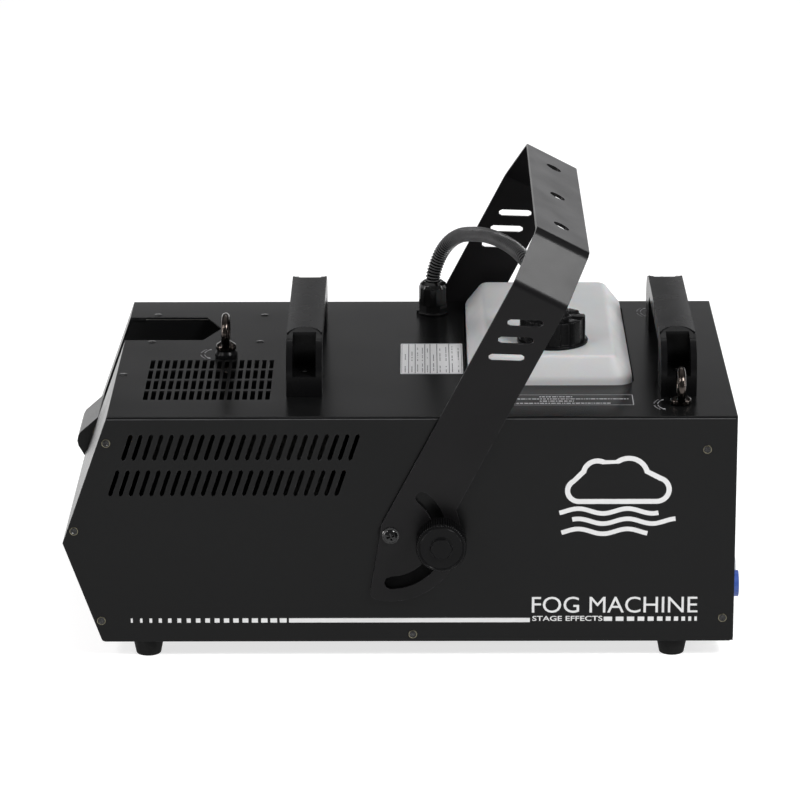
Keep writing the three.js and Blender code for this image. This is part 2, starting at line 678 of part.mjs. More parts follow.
// Clamp knob of the left side; y is its distance outwards from the machine's middle.
function makeKnob() {
  const { x, z } = CLAMP;
  const [back, rim, front] = [YOKE_OUTSIDE + GAP, YOKE_OUTSIDE + 8, HALF + 39];
  return cut(
    join(
      rod('Y', x, z, 13, -rim - 1, -back, 20),
      rod('Y', x, z, 23.5, -(front - 3), -rim, 36),
      rod('Y', x, z, 10.3, -front, -(front - 4), 20),
    ),
    rod('Y', x, z, STUD_HOLE, -(front - 6), -back + 1, 16),
  );
}
const clampPieces = {
  clamp_knob: [makeKnob(), MATERIAL.plastic],
  clamp_stud: [rod('Y', CLAMP.x, CLAMP.z, STUD_RADIUS, -(HALF + 32), -(HALF - 22), 16), MATERIAL.steel],
  clamp_nut: [
    cut(
      rod('Y', CLAMP.x, CLAMP.z, 9, -(HALF - SHEET - GAP), -(HALF - 13), 6),
      rod('Y', CLAMP.x, CLAMP.z, STUD_HOLE, -HALF, -(HALF - 14), 16),
    ),
    MATERIAL.steel,
  ],
  pivot_screw: [
    join(
      rod('Y', PIVOT.x, PIVOT.z, STUD_RADIUS, -(YOKE_OUTSIDE + 1), -(HALF - 14), 16),
      rod('Y', PIVOT.x, PIVOT.z, 7.8, -(YOKE_OUTSIDE + 3.6), -(YOKE_OUTSIDE + GAP), 20),
      rod('Y', PIVOT.x, PIVOT.z, 5.6, -(YOKE_OUTSIDE + 4.8), -(YOKE_OUTSIDE + 3), 20),
    ),
    MATERIAL.darkSteel,
  ],
  pivot_washer: [
    cut(
      rod('Y', PIVOT.x, PIVOT.z, 12, -(HALF + 2 - GAP), -(HALF + GAP), 16),
      rod('Y', PIVOT.x, PIVOT.z, STUD_HOLE, -HALF - 5, -HALF + 5, 16),
    ),
    MATERIAL.plastic,
  ],
};
for (const [piece, [solid, material]] of Object.entries(clampPieces)) {
  add(`${piece}_left`, solid, material);
  add(`${piece}_right`, mirrored(solid), material);
}

// ---------------------------------------------------------------- heater
const heaterBore = 3;
function makeHeaterBlock() {
  const { x0, x1, y0, y1, z0, z1 } = HEATER;
  const outline = rounded(rectangle(y0, y1, z0, z1), 6, 3);
  return cut(
    prism('X', outline, x0, x1),
    rod('X', nozzleAxis.y, nozzleAxis.z, 7.3, x0 - 1, x0 + 14, 16),
    rod('X', nozzleAxis.y, 90, 4.3, x1 - 14, x1 + 1, 16),
  );
}
add('heater_block', makeHeaterBlock(), MATERIAL.casting);

function makeJacket() {
  const thick = 8;
  const { x0, x1, y0, y1, z0, z1 } = HEATER;
  const [clearX, clearY] = [10, 0.6];
  return cut(
    box(x0 + clearX, x1 - clearX, y0 - thick, y1 + thick, z0 - thick, z1 - 6),
    box(x0 - 1, x1 + 1, y0 - clearY, y1 + clearY, z0 - clearY, z1 + 5),
  );
}
add('heater_jacket', makeJacket(), MATERIAL.wool);

function makeHeaterStand() {
  const top = HEATER.z0 - 8 - GAP;
  const flange = 14;
  const [y0, y1] = [HEATER.y0 - 4, HEATER.y1 + 4];
  const foot = ON_TRAY + SHEET;
  const section = [[y0 - flange, foot], [y0, foot], [y0, top], [y1, top], [y1, foot], [y1 + flange, foot]];
  return prism('X', bentSheet(section), HEATER.x0 + 20, HEATER.x1 - 20);
}
add('heater_stand', makeHeaterStand(), MATERIAL.steel);

add(
  'fog_nozzle',
  cut(
    turnedX(nozzleAxis.y, nozzleAxis.z, [
      [0, -311], [4.5, -311], [8, -302], [8, -284], [12, -284], [12, HEATER.x0 - GAP], [7, HEATER.x0 - GAP],
      [7, HEATER.x0 + 12], [0, HEATER.x0 + 12],
    ], 14),
    rod('X', nozzleAxis.y, nozzleAxis.z, heaterBore, -315, HEATER.x0 + 15, 8),
  ),
  MATERIAL.brass,
);

add(
  'thermostat',
  join(
    rod('Z', -190, nozzleAxis.y, 8, HEATER.z1 + GAP, HEATER.z1 + 7, 20),
    box(-202, -178, nozzleAxis.y - 3, nozzleAxis.y + 3, HEATER.z1 + GAP, HEATER.z1 + 2),
  ),
  MATERIAL.aluminium,
);

// ---------------------------------------------------------------- pump and its pipes
const PUMP = { x: 8, y: -120, bottom: ON_TRAY + SHEET + GAP, height: 56 };
add(
  'pump_bracket',
  join(
    box(PUMP.x - 36, PUMP.x + 36, PUMP.y - 34, PUMP.y + 34, ON_TRAY, ON_TRAY + SHEET),
    box(PUMP.x + 34.5, PUMP.x + 36, PUMP.y - 34, PUMP.y + 34, ON_TRAY, ON_TRAY + 30),
  ),
  MATERIAL.steel,
);
const pumpTop = PUMP.bottom + PUMP.height;
add(
  'pump',
  join(
    box(PUMP.x - 30, PUMP.x + 30, PUMP.y - 26, PUMP.y + 26, PUMP.bottom, PUMP.bottom + 42),
    rod('Z', PUMP.x, PUMP.y, 17, PUMP.bottom + 40, pumpTop, 24),
    rod('Z', PUMP.x, PUMP.y, 6, pumpTop - 1, pumpTop + 10, 12),
    rod('X', PUMP.y, PUMP.bottom + 30, 4, PUMP.x - 46, PUMP.x - 29, 12),
  ),
  MATERIAL.plastic,
);
add(
  'inlet_tube',
  sweep(
    [
      [GLAND.x, GLAND.y, BODY_TOP - 14 - GAP],
      [GLAND.x, GLAND.y, 205],
      [36, 140, 180],
      [40, 100, 155],
      [40, 20, 140],
      [36, -50, 132],
      [26, -95, 122],
      [12, -116, 108],
      [PUMP.x, PUMP.y, 98],
      [PUMP.x, PUMP.y, pumpTop + 10 + GAP],
    ],
    5, 8, 20,
  ),
  MATERIAL.tank,
);
add(
  'pressure_tube',
  sweep(
    [
      [PUMP.x - 46 - GAP, PUMP.y, PUMP.bottom + 30],
      [PUMP.x - 56, PUMP.y, PUMP.bottom + 30],
      [-54, -108, 58],
      [-52, -70, 66],
      [-48, -10, 78],
      [-42, 50, 88],
      [-40, 84, 90],
      [-46, nozzleAxis.y, 90],
      [-56, nozzleAxis.y, 90],
      [HEATER.x1 - 12, nozzleAxis.y, 90],
    ],
    3, 6, 24,
  ),
  MATERIAL.copper,
);

// ---------------------------------------------------------------- electronics
function makePowerBoard() {
  const [x0, x1, y0, y1] = [-236, -84, -150, -30];
  const top = ON_TRAY + 8;
  const leg = (x, y) => rod('Z', x, y, 3, ON_TRAY, top, 8);
  const legs = [x0 + 8, x1 - 8].flatMap((x) => [leg(x, y0 + 8), leg(x, y1 - 8)]);
  return join(
    box(x0, x1, y0, y1, top - 0.2, top + 1.6),
    ...legs,
    box(-218, -168, -138, -92, top + 1, top + 40),
    box(-150, -134, -140, -60, top + 1, top + 26),
    rod('Z', -112, -122, 11, top + 1, top + 30, 16),
    rod('Z', -112, -94, 8, top + 1, top + 22, 16),
    box(-214, -170, -72, -44, top + 1, top + 18),
  );
}
add('power_board', makePowerBoard(), MATERIAL.board);

const rearInside = REAR_X - SHEET - GAP; // plane of what touches the rear panel from inside
const rearOutside = REAR_X + GAP;
const cutters = []; // openings in the rear panel

const DISPLAY = { y: -75, z: 192, width: 78, height: 30 };
const BUTTONS = { menu: -108, up: -86, down: -64, enter: -42 };
const BUTTON = { z: 152, radius: 5, travel: 1.2, proud: 3.2 };
const boardX = rearInside - 20;
function makeControlBoard() {
  const legs = [-124, -26].flatMap((y) => [134, 214].map((z) => rod('X', y, z, 3, boardX, rearInside, 8)));
  const half = 4;
  const tactSwitch = (y) =>
    box(boardX - 0.5, boardX + 5, y - half, y + half, BUTTON.z - half, BUTTON.z + half);
  const switches = Object.values(BUTTONS).map(tactSwitch);
  return join(box(boardX - 1.6, boardX, -132, -18, 126, 222), ...legs, ...switches);
}
add('control_board', makeControlBoard(), MATERIAL.board);

const displayOutline = (extra) =>
  rectangle(
    DISPLAY.y - DISPLAY.width / 2 - extra, DISPLAY.y + DISPLAY.width / 2 + extra,
    DISPLAY.z - DISPLAY.height / 2 - extra, DISPLAY.z + DISPLAY.height / 2 + extra,
  );
cutters.push(prism('X', displayOutline(GAP), REAR_X - 5, REAR_X + 5));
add(
  'display_window',
  cut(
    join(
      prism('X', displayOutline(0), boardX + 8, REAR_X + 1),
      prism('X', rounded(displayOutline(4), 3, 2), rearOutside, REAR_X + 2.2),
    ),
    prism('X', displayOutline(-5), REAR_X + 0.8, REAR_X + 5),
  ),
  MATERIAL.screen,
);

for (const [name, y] of Object.entries(BUTTONS)) {
  cutters.push(rod('X', y, BUTTON.z, BUTTON.radius + 0.5, REAR_X - 5, REAR_X + 5, 14));
  const rest = boardX + 5 + BUTTON.travel + GAP;
  const tip = REAR_X + BUTTON.proud;
  const profile = [
    [0, rest], [2.2, rest], [2.2, REAR_X - 6], [BUTTON.radius, REAR_X - 6], [BUTTON.radius, tip - 0.8],
    [BUTTON.radius - 0.8, tip], [0, tip],
  ];
  add(`button_${name}`, turnedX(y, BUTTON.z, profile, 14), MATERIAL.plastic);
}

// Connectors in a row along the rear panel's lower edge.
const ROW_Z = 55;
const FLANGE = { halfY: 13, halfZ: 15.5, thick: 2 };
function panelConnector(name, y, { barrel, proud, recess, depth, post = 0, back = 24 }, material) {
  const hole = barrel + 0.5;
  cutters.push(rod('X', y, ROW_Z, hole, REAR_X - 5, REAR_X + 5, 20));
  const flange = rounded(
    rectangle(y - FLANGE.halfY, y + FLANGE.halfY, ROW_Z - FLANGE.halfZ, ROW_Z + FLANGE.halfZ), 2.5, 2,
  );
  const tip = REAR_X + proud;
  const socket = rod('X', y, ROW_Z, recess, tip - depth, tip + 1, 20);
  const pieces = [
    prism('X', flange, rearOutside, rearOutside + FLANGE.thick),
    rod('X', y, ROW_Z, barrel, REAR_X - back, tip, 20),
  ];
  const shell = cut(join(...pieces), socket);
  add(name, post ? join(shell, rod('X', y, ROW_Z, post, tip - depth - 1, tip - 2, 12)) : shell, material);
}
const POWER = { barrel: 12.6, proud: 8, recess: 10.4, depth: 22, post: 4.6 };
const SIGNAL = { barrel: 11.6, proud: 3, recess: 9.3, depth: 15 };
panelConnector('power_inlet', -140, POWER, MATERIAL.blue);
panelConnector('power_outlet', -100, POWER, MATERIAL.grey);
panelConnector('signal_input', -55, SIGNAL, MATERIAL.steel);
panelConnector('signal_output', -15, SIGNAL, MATERIAL.steel);

// Fuse holder with a quarter-turn cap.
const FUSE = { y: 25, body: 7, cap: 6.4 };
cutters.push(rod('X', FUSE.y, ROW_Z, FUSE.body + 0.4, REAR_X - 5, REAR_X + 5, 20));
add(
  'fuse_holder',
  cut(
    join(
      rod('X', FUSE.y, ROW_Z, FUSE.body, REAR_X - 30, REAR_X + 1, 16),
      rod('X', FUSE.y, ROW_Z, 9, rearOutside, REAR_X + 2.5, 20),
    ),
    rod('X', FUSE.y, ROW_Z, 4.6, REAR_X - 22, REAR_X + 5, 12),
  ),
  MATERIAL.plastic,
);
add(
  'fuse_cap',
  cut(
    join(
      rod('X', FUSE.y, ROW_Z, 4.2, REAR_X - 12, REAR_X + 3, 12),
      rod('X', FUSE.y, ROW_Z, FUSE.cap, REAR_X + 2.5 + GAP, REAR_X + 7.5, 16),
    ),
    box(REAR_X + 6.3, REAR_X + 9, FUSE.y - 5, FUSE.y + 5, ROW_Z - 0.7, ROW_Z + 0.7),
  ),
  MATERIAL.plastic,
);

// Mains rocker switch. The rocker turns about a Y axis inside its frame.
const SWITCH = { y: 62, halfY: 9.5, halfZ: 13.5, rockerHalfY: 8, rockerHalfZ: 11.5, pivotX: REAR_X - 1 };
const switchOutline = (extra) =>
  rectangle(SWITCH.y - SWITCH.halfY - extra, SWITCH.y + SWITCH.halfY + extra,
    ROW_Z - SWITCH.halfZ - extra, ROW_Z + SWITCH.halfZ + extra);
cutters.push(prism('X', switchOutline(GAP), REAR_X - 5, REAR_X + 5));
const rockerRoom = 0.5;
add(
  'switch_frame',
  cut(
    join(
      prism('X', switchOutline(0), REAR_X - 22, REAR_X + 1),
      prism('X', rounded(switchOutline(2.5), 2, 2), rearOutside, REAR_X + 2.6),
    ),
    box(SWITCH.pivotX - 8, REAR_X + 5, SWITCH.y - SWITCH.rockerHalfY - rockerRoom,
      SWITCH.y + SWITCH.rockerHalfY + rockerRoom, ROW_Z - SWITCH.rockerHalfZ - rockerRoom,
      ROW_Z + SWITCH.rockerHalfZ + rockerRoom),
  ),
  MATERIAL.plastic,
);
const rockerOutline = [
  [SWITCH.pivotX - 3.2, ROW_Z - SWITCH.rockerHalfZ + 0.6],
  [SWITCH.pivotX + 2.6, ROW_Z - SWITCH.rockerHalfZ + 0.2],
  [SWITCH.pivotX + 3.4, ROW_Z],
  [SWITCH.pivotX + 5.8, ROW_Z + SWITCH.rockerHalfZ - 1.4],
  [SWITCH.pivotX - 1.6, ROW_Z + SWITCH.rockerHalfZ - 0.8],
  [SWITCH.pivotX - 4, ROW_Z + 3],
];
add(
  'power_rocker',
  prism('Y', rockerOutline, SWITCH.y - SWITCH.rockerHalfY, SWITCH.y + SWITCH.rockerHalfY),
  MATERIAL.red,
);

// Cooling fan behind a slotted grille.
const FAN = { y: 100, z: 160, half: 40, depth: 25, duct: 37.5, hub: 17 };
const grillePitch = 9;
for (let i = -4; i <= 4; i++) {
  const y = FAN.y + i * grillePitch;
  const reach = Math.sqrt(FAN.duct ** 2 - (i * grillePitch) ** 2) - 4;
  cutters.push(prism('X', slot(y, FAN.z - reach, y, FAN.z + reach, 5), REAR_X - 5, REAR_X + 5));
}
const fanFront = rearInside - FAN.depth;
const fanSquare = (half) => rectangle(FAN.y - half, FAN.y + half, FAN.z - half, FAN.z + half);
function makeFanFrame() {
  const strut = (y0, y1, z0, z1) => box(fanFront, fanFront + 3, y0, y1, z0, z1);
  return join(
    cut(
      prism('X', rounded(fanSquare(FAN.half), 4, 2), fanFront, rearInside),
      rod('X', FAN.y, FAN.z, FAN.duct, fanFront - 1, rearInside + 1, 32),
    ),
    rod('X', FAN.y, FAN.z, FAN.hub, fanFront, fanFront + 5, 20),
    strut(FAN.y - FAN.half + 1, FAN.y + FAN.half - 1, FAN.z - 2, FAN.z + 2),
    strut(FAN.y - 2, FAN.y + 2, FAN.z - FAN.half + 1, FAN.z + FAN.half - 1),
  );
}
add('fan_frame', makeFanFrame(), MATERIAL.plastic);

function makeFanRotor() {
  const blades = 7;
  const [x0, x1] = [fanFront + 6, rearInside - 3];
  const pitchAngle = THREE.MathUtils.degToRad(38);
  let rotor = rod('X', 0, 0, FAN.hub - 1, x0, x1, 24);
  for (let i = 0; i < blades; i++) {
    const blade = new THREE.BoxGeometry(1.8, 22, 21);
    blade.translate(0, 0, FAN.hub + 8);
    blade.rotateZ(pitchAngle);
    blade.translate((x0 + x1) / 2, 0, 0);
    blade.rotateX((2 * Math.PI * i) / blades);
    rotor = rotor.add(solidOf(blade));
  }
  const reach = rod('X', 0, 0, FAN.duct - 1.5, x0, x1, 32);
  return rotor.intersect(reach).translate([0, FAN.y, FAN.z]);
}
add('fan_rotor', makeFanRotor(), MATERIAL.plastic);

add('rear_panel', makeRearPanel(cutters), MATERIAL.paint);

export default machine;
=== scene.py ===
import json
import math
import random

import bmesh
import bpy
from mathutils import Matrix, Vector
from mathutils.geometry import delaunay_2d_cdt


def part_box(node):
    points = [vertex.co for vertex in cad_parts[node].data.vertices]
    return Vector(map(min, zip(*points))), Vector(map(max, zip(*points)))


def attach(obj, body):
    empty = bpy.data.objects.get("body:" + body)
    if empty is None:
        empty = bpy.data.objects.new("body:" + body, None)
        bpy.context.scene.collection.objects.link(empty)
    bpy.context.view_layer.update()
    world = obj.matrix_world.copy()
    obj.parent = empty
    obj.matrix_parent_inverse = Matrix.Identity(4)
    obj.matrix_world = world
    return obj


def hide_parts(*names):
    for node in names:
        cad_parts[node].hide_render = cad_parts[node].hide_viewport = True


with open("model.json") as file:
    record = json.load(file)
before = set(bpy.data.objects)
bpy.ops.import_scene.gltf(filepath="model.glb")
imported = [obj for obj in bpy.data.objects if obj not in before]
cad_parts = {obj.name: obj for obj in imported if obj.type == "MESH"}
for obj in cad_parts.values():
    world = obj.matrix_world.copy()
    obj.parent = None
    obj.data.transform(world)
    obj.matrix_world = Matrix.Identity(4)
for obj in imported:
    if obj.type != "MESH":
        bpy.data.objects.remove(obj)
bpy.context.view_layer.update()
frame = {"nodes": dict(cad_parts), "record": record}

MM = 0.001
random.seed(7)


class Box:
    """A CAD node's box in millimetres."""

    def __init__(self, node):
        low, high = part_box(node)
        self.low, self.high = low / MM, high / MM
        self.centre = (self.low + self.high) / 2
        self.size = self.high - self.low


CASE = Box("cover")
REAR, TOP, NEAR, FAR = CASE.high.x, CASE.high.z, CASE.low.y, CASE.high.y
SIDES = (("left", -1, NEAR), ("right", 1, FAR))
EYES = ("front", "rear_left", "rear_right")
CONNECTORS = ("power_inlet", "power_outlet", "signal_input", "signal_output")

VIEW_TURN = (-0.298, 17.544, -0.204)  # the camera's yaw, pitch and roll in degrees
VIEW_FROM = (0.01888, -3.68639, 1.358997)  # its place in metres
LENS, SENSOR = 178.96, 36
SKY = ((0.19, 1.25), (0.245, 0.08), (0.36, 0.04), (0.62, 0.08), (0.88, 0.7))  # height and brightness


# ------------------------------------------------------------------ camera, floor and lights
def make_camera():
    yaw, pitch, roll = (math.radians(a) for a in VIEW_TURN)
    forward = Vector((math.sin(yaw) * math.cos(pitch), math.cos(yaw) * math.cos(pitch), -math.sin(pitch)))
    level = Vector((math.cos(yaw), -math.sin(yaw), 0))
    vertical = level.cross(forward)
    right = math.cos(roll) * level + math.sin(roll) * vertical
    up = math.cos(roll) * vertical - math.sin(roll) * level
    camera = bpy.data.objects.new("camera", bpy.data.cameras.new("camera"))
    camera.data.lens = LENS
    camera.data.sensor_width = SENSOR
    camera.data.clip_end = 100
    turn = Matrix((right, up, -forward)).transposed().to_4x4()
    camera.matrix_world = Matrix.Translation(VIEW_FROM) @ turn
    bpy.context.scene.collection.objects.link(camera)
    bpy.context.scene.camera = camera


def make_floor():
    mesh = bpy.data.meshes.new("floor")
    mesh.from_pydata([(-20, -20, 0), (20, -20, 0), (20, 20, 0), (-20, 20, 0)], [], [(0, 1, 2, 3)])
    floor = bpy.data.objects.new("floor", mesh)
    bpy.context.scene.collection.objects.link(floor)
    mat = bpy.data.materials.new("floor")
    mat.use_nodes = True
    shader = mat.node_tree.nodes["Principled BSDF"]
    shader.inputs["Base Color"].default_value = (0.5, 0.5, 0.5, 1)
    shader.inputs["Roughness"].default_value = 1
    shader.inputs["Specular IOR Level"].default_value = 0
    shader.inputs["Emission Color"].default_value = (1, 1, 1, 1)
    shader.inputs["Emission Strength"].default_value = 0.72
    mesh.materials.append(mat)


def make_world():
    """A bright low horizon under a dark band, with a broad soft wall of light on the front side."""
    world = bpy.data.worlds.new("studio")
    bpy.context.scene.world = world
    world.use_nodes = True
    tree = world.node_tree
    direction = add_node(tree, "SeparateXYZ", Vector=add_node(tree, "TexCoord").outputs["Generated"])
    ramp = add_node(tree, "ValToRGB", Fac=direction.outputs["Z"])
    stops = ramp.color_ramp.elements
    for stop in (0.3, 0.4, 0.5):
        stops.new(stop)
    for stop, (level, tone) in zip(stops, SKY):
        stop.position, stop.color = level, (tone, tone, tone * 1.012, 1)
    front = spread(tree, direction.outputs["Y"], 1, 0, -0.35, 0.05)
    sky = blend(tree, front, ramp.outputs["Color"], (0.2, 0.2, 0.203))
    link(tree, sky, tree.nodes["Background"].inputs["Color"])


def softbox(name, position, power, width, height, tint=(1, 1, 1)):
    data = bpy.data.lights.new(name, "AREA")
    data.shape = "RECTANGLE"
    data.size, data.size_y = width, height
    data.energy = power
    data.color = tint
    lamp = bpy.data.objects.new(name, data)
    lamp.location = position
    lamp.rotation_mode = "QUATERNION"
    aim = Vector((0, 0, 0.15)) - Vector(position)
    lamp.rotation_quaternion = aim.to_track_quat("-Z", "Y")
    bpy.context.scene.collection.objects.link(lamp)


def make_lights():
    softbox("key", (1.75, -1.65, 2.25), 88, 0.85, 0.85)
    softbox("left_key", (-1.85, -1.65, 2.15), 26, 0.7, 0.7, (1, 0.985, 0.98))
    softbox("left_strip", (-2.5, -0.6, 0.9), 30, 0.25, 1.5, (1, 0.97, 0.965))
    softbox("right_strip", (2.6, -0.5, 0.9), 26, 0.25, 1.5)
    softbox("back_rim", (0.4, 2.2, 2.6), 8, 2.0, 0.6)


# ------------------------------------------------------------------ materials
def link(tree, source, target):
    tree.links.new(source, target)


def add_node(tree, kind, **inputs):
    """A new node. Each input is given by its name, as a value or as the socket that it is linked from."""
    node = tree.nodes.new("ShaderNode" + kind)
    for name, value in inputs.items():
        socket = node.inputs[name.replace("_", " ")]
        if isinstance(value, bpy.types.NodeSocket):
            link(tree, value, socket)
        else:
            socket.default_value = value
    return node


def noise(tree, place, scale, detail=2.0, stretch=None):
    where = place.outputs["Object"]
    if stretch:
        where = add_node(tree, "Mapping", Vector=where, Scale=stretch).outputs["Vector"]
    return add_node(tree, "TexNoise", Scale=scale, Detail=detail, Vector=where).outputs["Fac"]


def spread(tree, source, low, high, start=0.3, end=0.7):
    node = add_node(tree, "MapRange", Value=source, From_Min=start, From_Max=end, To_Min=low, To_Max=high)
    return node.outputs["Result"]


def blend(tree, share, first, second):
    """Mixes two colours. Each is a socket, or a colour."""
    node = add_node(tree, "Mix")
    node.data_type = "RGBA"
    link(tree, share, node.inputs[0])
    for value, socket in ((first, node.inputs[6]), (second, node.inputs[7])):
        if isinstance(value, (tuple, list)):
            socket.default_value = (*value[:3], 1)
        else:
            link(tree, value, socket)
    return node.outputs[2]


def shade(color, factor):
    return tuple(min(1.0, c * factor) for c in color)


def edge_share(tree, place, radius, scale):
    """How close a point is to a worn edge, broken up by noise."""
    bevel = add_node(tree, "Bevel", Radius=radius)
    bevel.samples = 4
    dot = add_node(tree, "VectorMath")
    dot.operation = "DOT_PRODUCT"
    link(tree, bevel.outputs["Normal"], dot.inputs[0])
    link(tree, add_node(tree, "NewGeometry").outputs["Normal"], dot.inputs[1])
    product = add_node(tree, "Math")
    product.operation = "MULTIPLY"
    link(tree, spread(tree, dot.outputs["Value"], 1.0, 0.0, 0.86, 0.995), product.inputs[0])
    link(tree, spread(tree, noise(tree, place, scale, 4), 0.0, 1.0, 0.42, 0.66), product.inputs[1])
    return product.outputs[0]


MATERIALS = {}


def finish(name, color, roughness, metallic=0.0, specular=0.5, vary=0.12, blotch=9.0, rough_span=0.08,
           grain=900.0, bump=0.02, stretch=None, wear=None, speck=None, **sockets):
    """A surface with uneven colour and gloss and a fine relief; bump is the relief in millimetres."""
    mat = bpy.data.materials.new(name)
    mat.use_nodes = True
    tree = mat.node_tree
    shader = tree.nodes["Principled BSDF"]
    place = add_node(tree, "TexCoord")
    broad = noise(tree, place, blotch, 5, stretch)
    fine = noise(tree, place, grain, 3, stretch)
    tone = blend(tree, spread(tree, broad, 0, 1), shade(color, 1 - vary), shade(color, 1 + vary))
    tone = blend(tree, spread(tree, fine, 0, 0.35), tone, shade(color, 1 + 1.6 * vary))
    if speck:
        amount, other = speck
        dots = noise(tree, place, grain * 0.4, 1)
        tone = blend(tree, spread(tree, dots, 0, amount, 0.62, 0.72), tone, other)
    if wear:
        tone = blend(tree, edge_share(tree, place, 0.0007, 160), tone, wear)
    link(tree, tone, shader.inputs["Base Color"])
    smudge = noise(tree, place, blotch * 2.7, 6, stretch)
    gloss = spread(tree, smudge, roughness - rough_span, roughness + rough_span)
    link(tree, gloss, shader.inputs["Roughness"])
    relief = add_node(tree, "Bump", Strength=1, Distance=bump * MM, Height=fine)
    link(tree, relief.outputs["Normal"], shader.inputs["Normal"])
    for socket, value in {"Metallic": metallic, "Specular IOR Level": specular, **sockets}.items():
        shader.inputs[socket.replace("_", " ")].default_value = value
    MATERIALS[name] = mat


def make_paints():
    finish("case_paint", (0.0036, 0.0037, 0.0038), 0.25, specular=0.12, vary=0.12, blotch=6, grain=1500,
           bump=0.008, rough_span=0.02, wear=(0.04, 0.04, 0.042))
    finish("yoke_paint", (0.0042, 0.0040, 0.0043), 0.31, specular=0.12, vary=0.18, blotch=9, grain=760,
           bump=0.03, rough_span=0.03, wear=(0.045, 0.045, 0.047))
    finish("print_white", (0.52, 0.52, 0.52), 0.5, vary=0.03, blotch=60, grain=2200, bump=0.004)
    finish("print_grey", (0.30, 0.30, 0.31), 0.55, vary=0.2, blotch=90, grain=2200, bump=0.004)
    finish("label_paper", (0.74, 0.74, 0.75), 0.42, vary=0.03, blotch=30, grain=1800, bump=0.004)
    finish("label_ink", (0.05, 0.05, 0.055), 0.5, vary=0.2, blotch=80, grain=1800, bump=0.002)


def make_plastics():
    finish("black_plastic", (0.0032, 0.0032, 0.0034), 0.26, specular=0.075, vary=0.15, blotch=14, grain=1300,
           bump=0.01, rough_span=0.04)
    # painted shade: a near-black for the shaded valleys between the hose's ribs
    finish("hose_valley_shade", (0.0012, 0.0012, 0.0012), 0.7, specular=0.05, vary=0.2, blotch=40, grain=900,
           bump=0.01)
    # painted highlight: a lighter grey on the rib crests for the light they catch
    finish("rib_highlight_plastic", (0.075, 0.075, 0.077), 0.32, specular=0.9, vary=0.3, blotch=60, grain=900,
           bump=0.006, rough_span=0.05)
    # painted highlight: a lighter grey line for the light caught along the case top's folds
    finish("fold_highlight_paint", (0.05, 0.05, 0.052), 0.4, specular=0.4, vary=0.35, blotch=30, grain=900, bump=0.01)
    # painted shade: a near-black matte for the shade in the gap behind the yoke's slots
    finish("slot_shade_matte", (0.0035, 0.0035, 0.0036), 0.9, specular=0.05, vary=0.3, blotch=120, grain=2200, bump=0.03)
    finish("hose_plastic", (0.0035, 0.0035, 0.0036), 0.2, specular=0.5, vary=0.2, blotch=25, grain=900,
           bump=0.006, rough_span=0.05)
    finish("rubber", (0.004, 0.004, 0.004), 0.75, specular=0.12, vary=0.2, blotch=40, grain=1700,
           bump=0.05, rough_span=0.08, speck=(0.5, (0.012, 0.012, 0.012)))
    finish("can_plastic", (0.45, 0.455, 0.46), 0.4, specular=0.4, vary=0.03, blotch=11, grain=420,
           bump=0.03, rough_span=0.06, Subsurface_Weight=0.25, Subsurface_Scale=0.012)
    finish("blue_plastic", (0.025, 0.07, 0.30), 0.3, vary=0.1, blotch=50, grain=1500, bump=0.008)
    finish("grey_plastic", (0.36, 0.37, 0.39), 0.36, vary=0.08, blotch=50, grain=1500, bump=0.008)
    finish("red_plastic", (0.42, 0.015, 0.012), 0.28, vary=0.1, blotch=60, grain=1500, bump=0.006)
    finish("screen_glass", (0.008, 0.011, 0.015), 0.08, specular=0.6, vary=0.1, rough_span=0.03,
           blotch=70, grain=700, bump=0.001)
    finish("screen_lcd", (0.16, 0.24, 0.20), 0.35, vary=0.06, blotch=120, grain=2500, bump=0.003)
    finish("insulation", (0.022, 0.021, 0.02), 0.95, vary=0.2, blotch=60, grain=500, bump=0.5)
    finish("circuit_board", (0.02, 0.13, 0.05), 0.4, vary=0.25, blotch=120, grain=800, bump=0.03)


def make_metals():
    finish("dark_steel", (0.045, 0.038, 0.034), 0.17, metallic=1.0, vary=0.3, blotch=70, grain=700,
           bump=0.006, rough_span=0.06, wear=(0.45, 0.38, 0.33))
    finish("screw_zinc", (0.20, 0.185, 0.13), 0.33, metallic=1.0, vary=0.25, blotch=260, grain=1800,
           bump=0.006)
    finish("screw_black", (0.004, 0.004, 0.0043), 0.1, specular=0.3, vary=0.25, blotch=260, grain=1800,
           bump=0.003, rough_span=0.04, wear=(0.12, 0.12, 0.12))
    finish("cast_aluminium", (0.10, 0.10, 0.105), 0.6, metallic=1.0, vary=0.25, blotch=50, grain=700,
           bump=0.06)
    finish("zinc_steel", (0.55, 0.54, 0.50), 0.34, metallic=1.0, vary=0.15, blotch=60, grain=900, bump=0.01)
    finish("aluminium", (0.62, 0.63, 0.64), 0.38, metallic=1.0, vary=0.08, blotch=30, grain=500,
           bump=0.012, stretch=(1, 14, 14))
    finish("connector_nickel", (0.42, 0.41, 0.40), 0.3, metallic=1.0, vary=0.12, blotch=90, grain=900,
           bump=0.006)
    finish("brass", (0.68, 0.47, 0.18), 0.3, metallic=1.0, vary=0.15, blotch=90, grain=900, bump=0.006)
    finish("copper", (0.68, 0.32, 0.18), 0.33, metallic=1.0, vary=0.2, blotch=60, grain=900, bump=0.006)


# ------------------------------------------------------------------ building meshes, in millimetres
class Shape:
    """Points and faces in millimetres, each face with the number of its material. Shapes add to shapes."""

    def __init__(self):
        self.points, self.faces, self.marks = [], [], []

    def add(self, made, mark=0, matrix=None):
        points, faces = (made.points, made.faces) if isinstance(made, Shape) else made
        start = len(self.points)
        self.points += [matrix @ Vector(p) if matrix else Vector(p) for p in points]
        self.faces += [[start + i for i in face] for face in faces]
        self.marks += [mark] * len(faces)
        return self


def arc(cx, cy, radius, start, end, steps, radius_y=None):
    radius_y = radius if radius_y is None else radius_y
    angles = (math.radians(start + (end - start) * k / steps) for k in range(steps + 1))
    return [(cx + radius * math.cos(a), cy + radius_y * math.sin(a)) for a in angles]


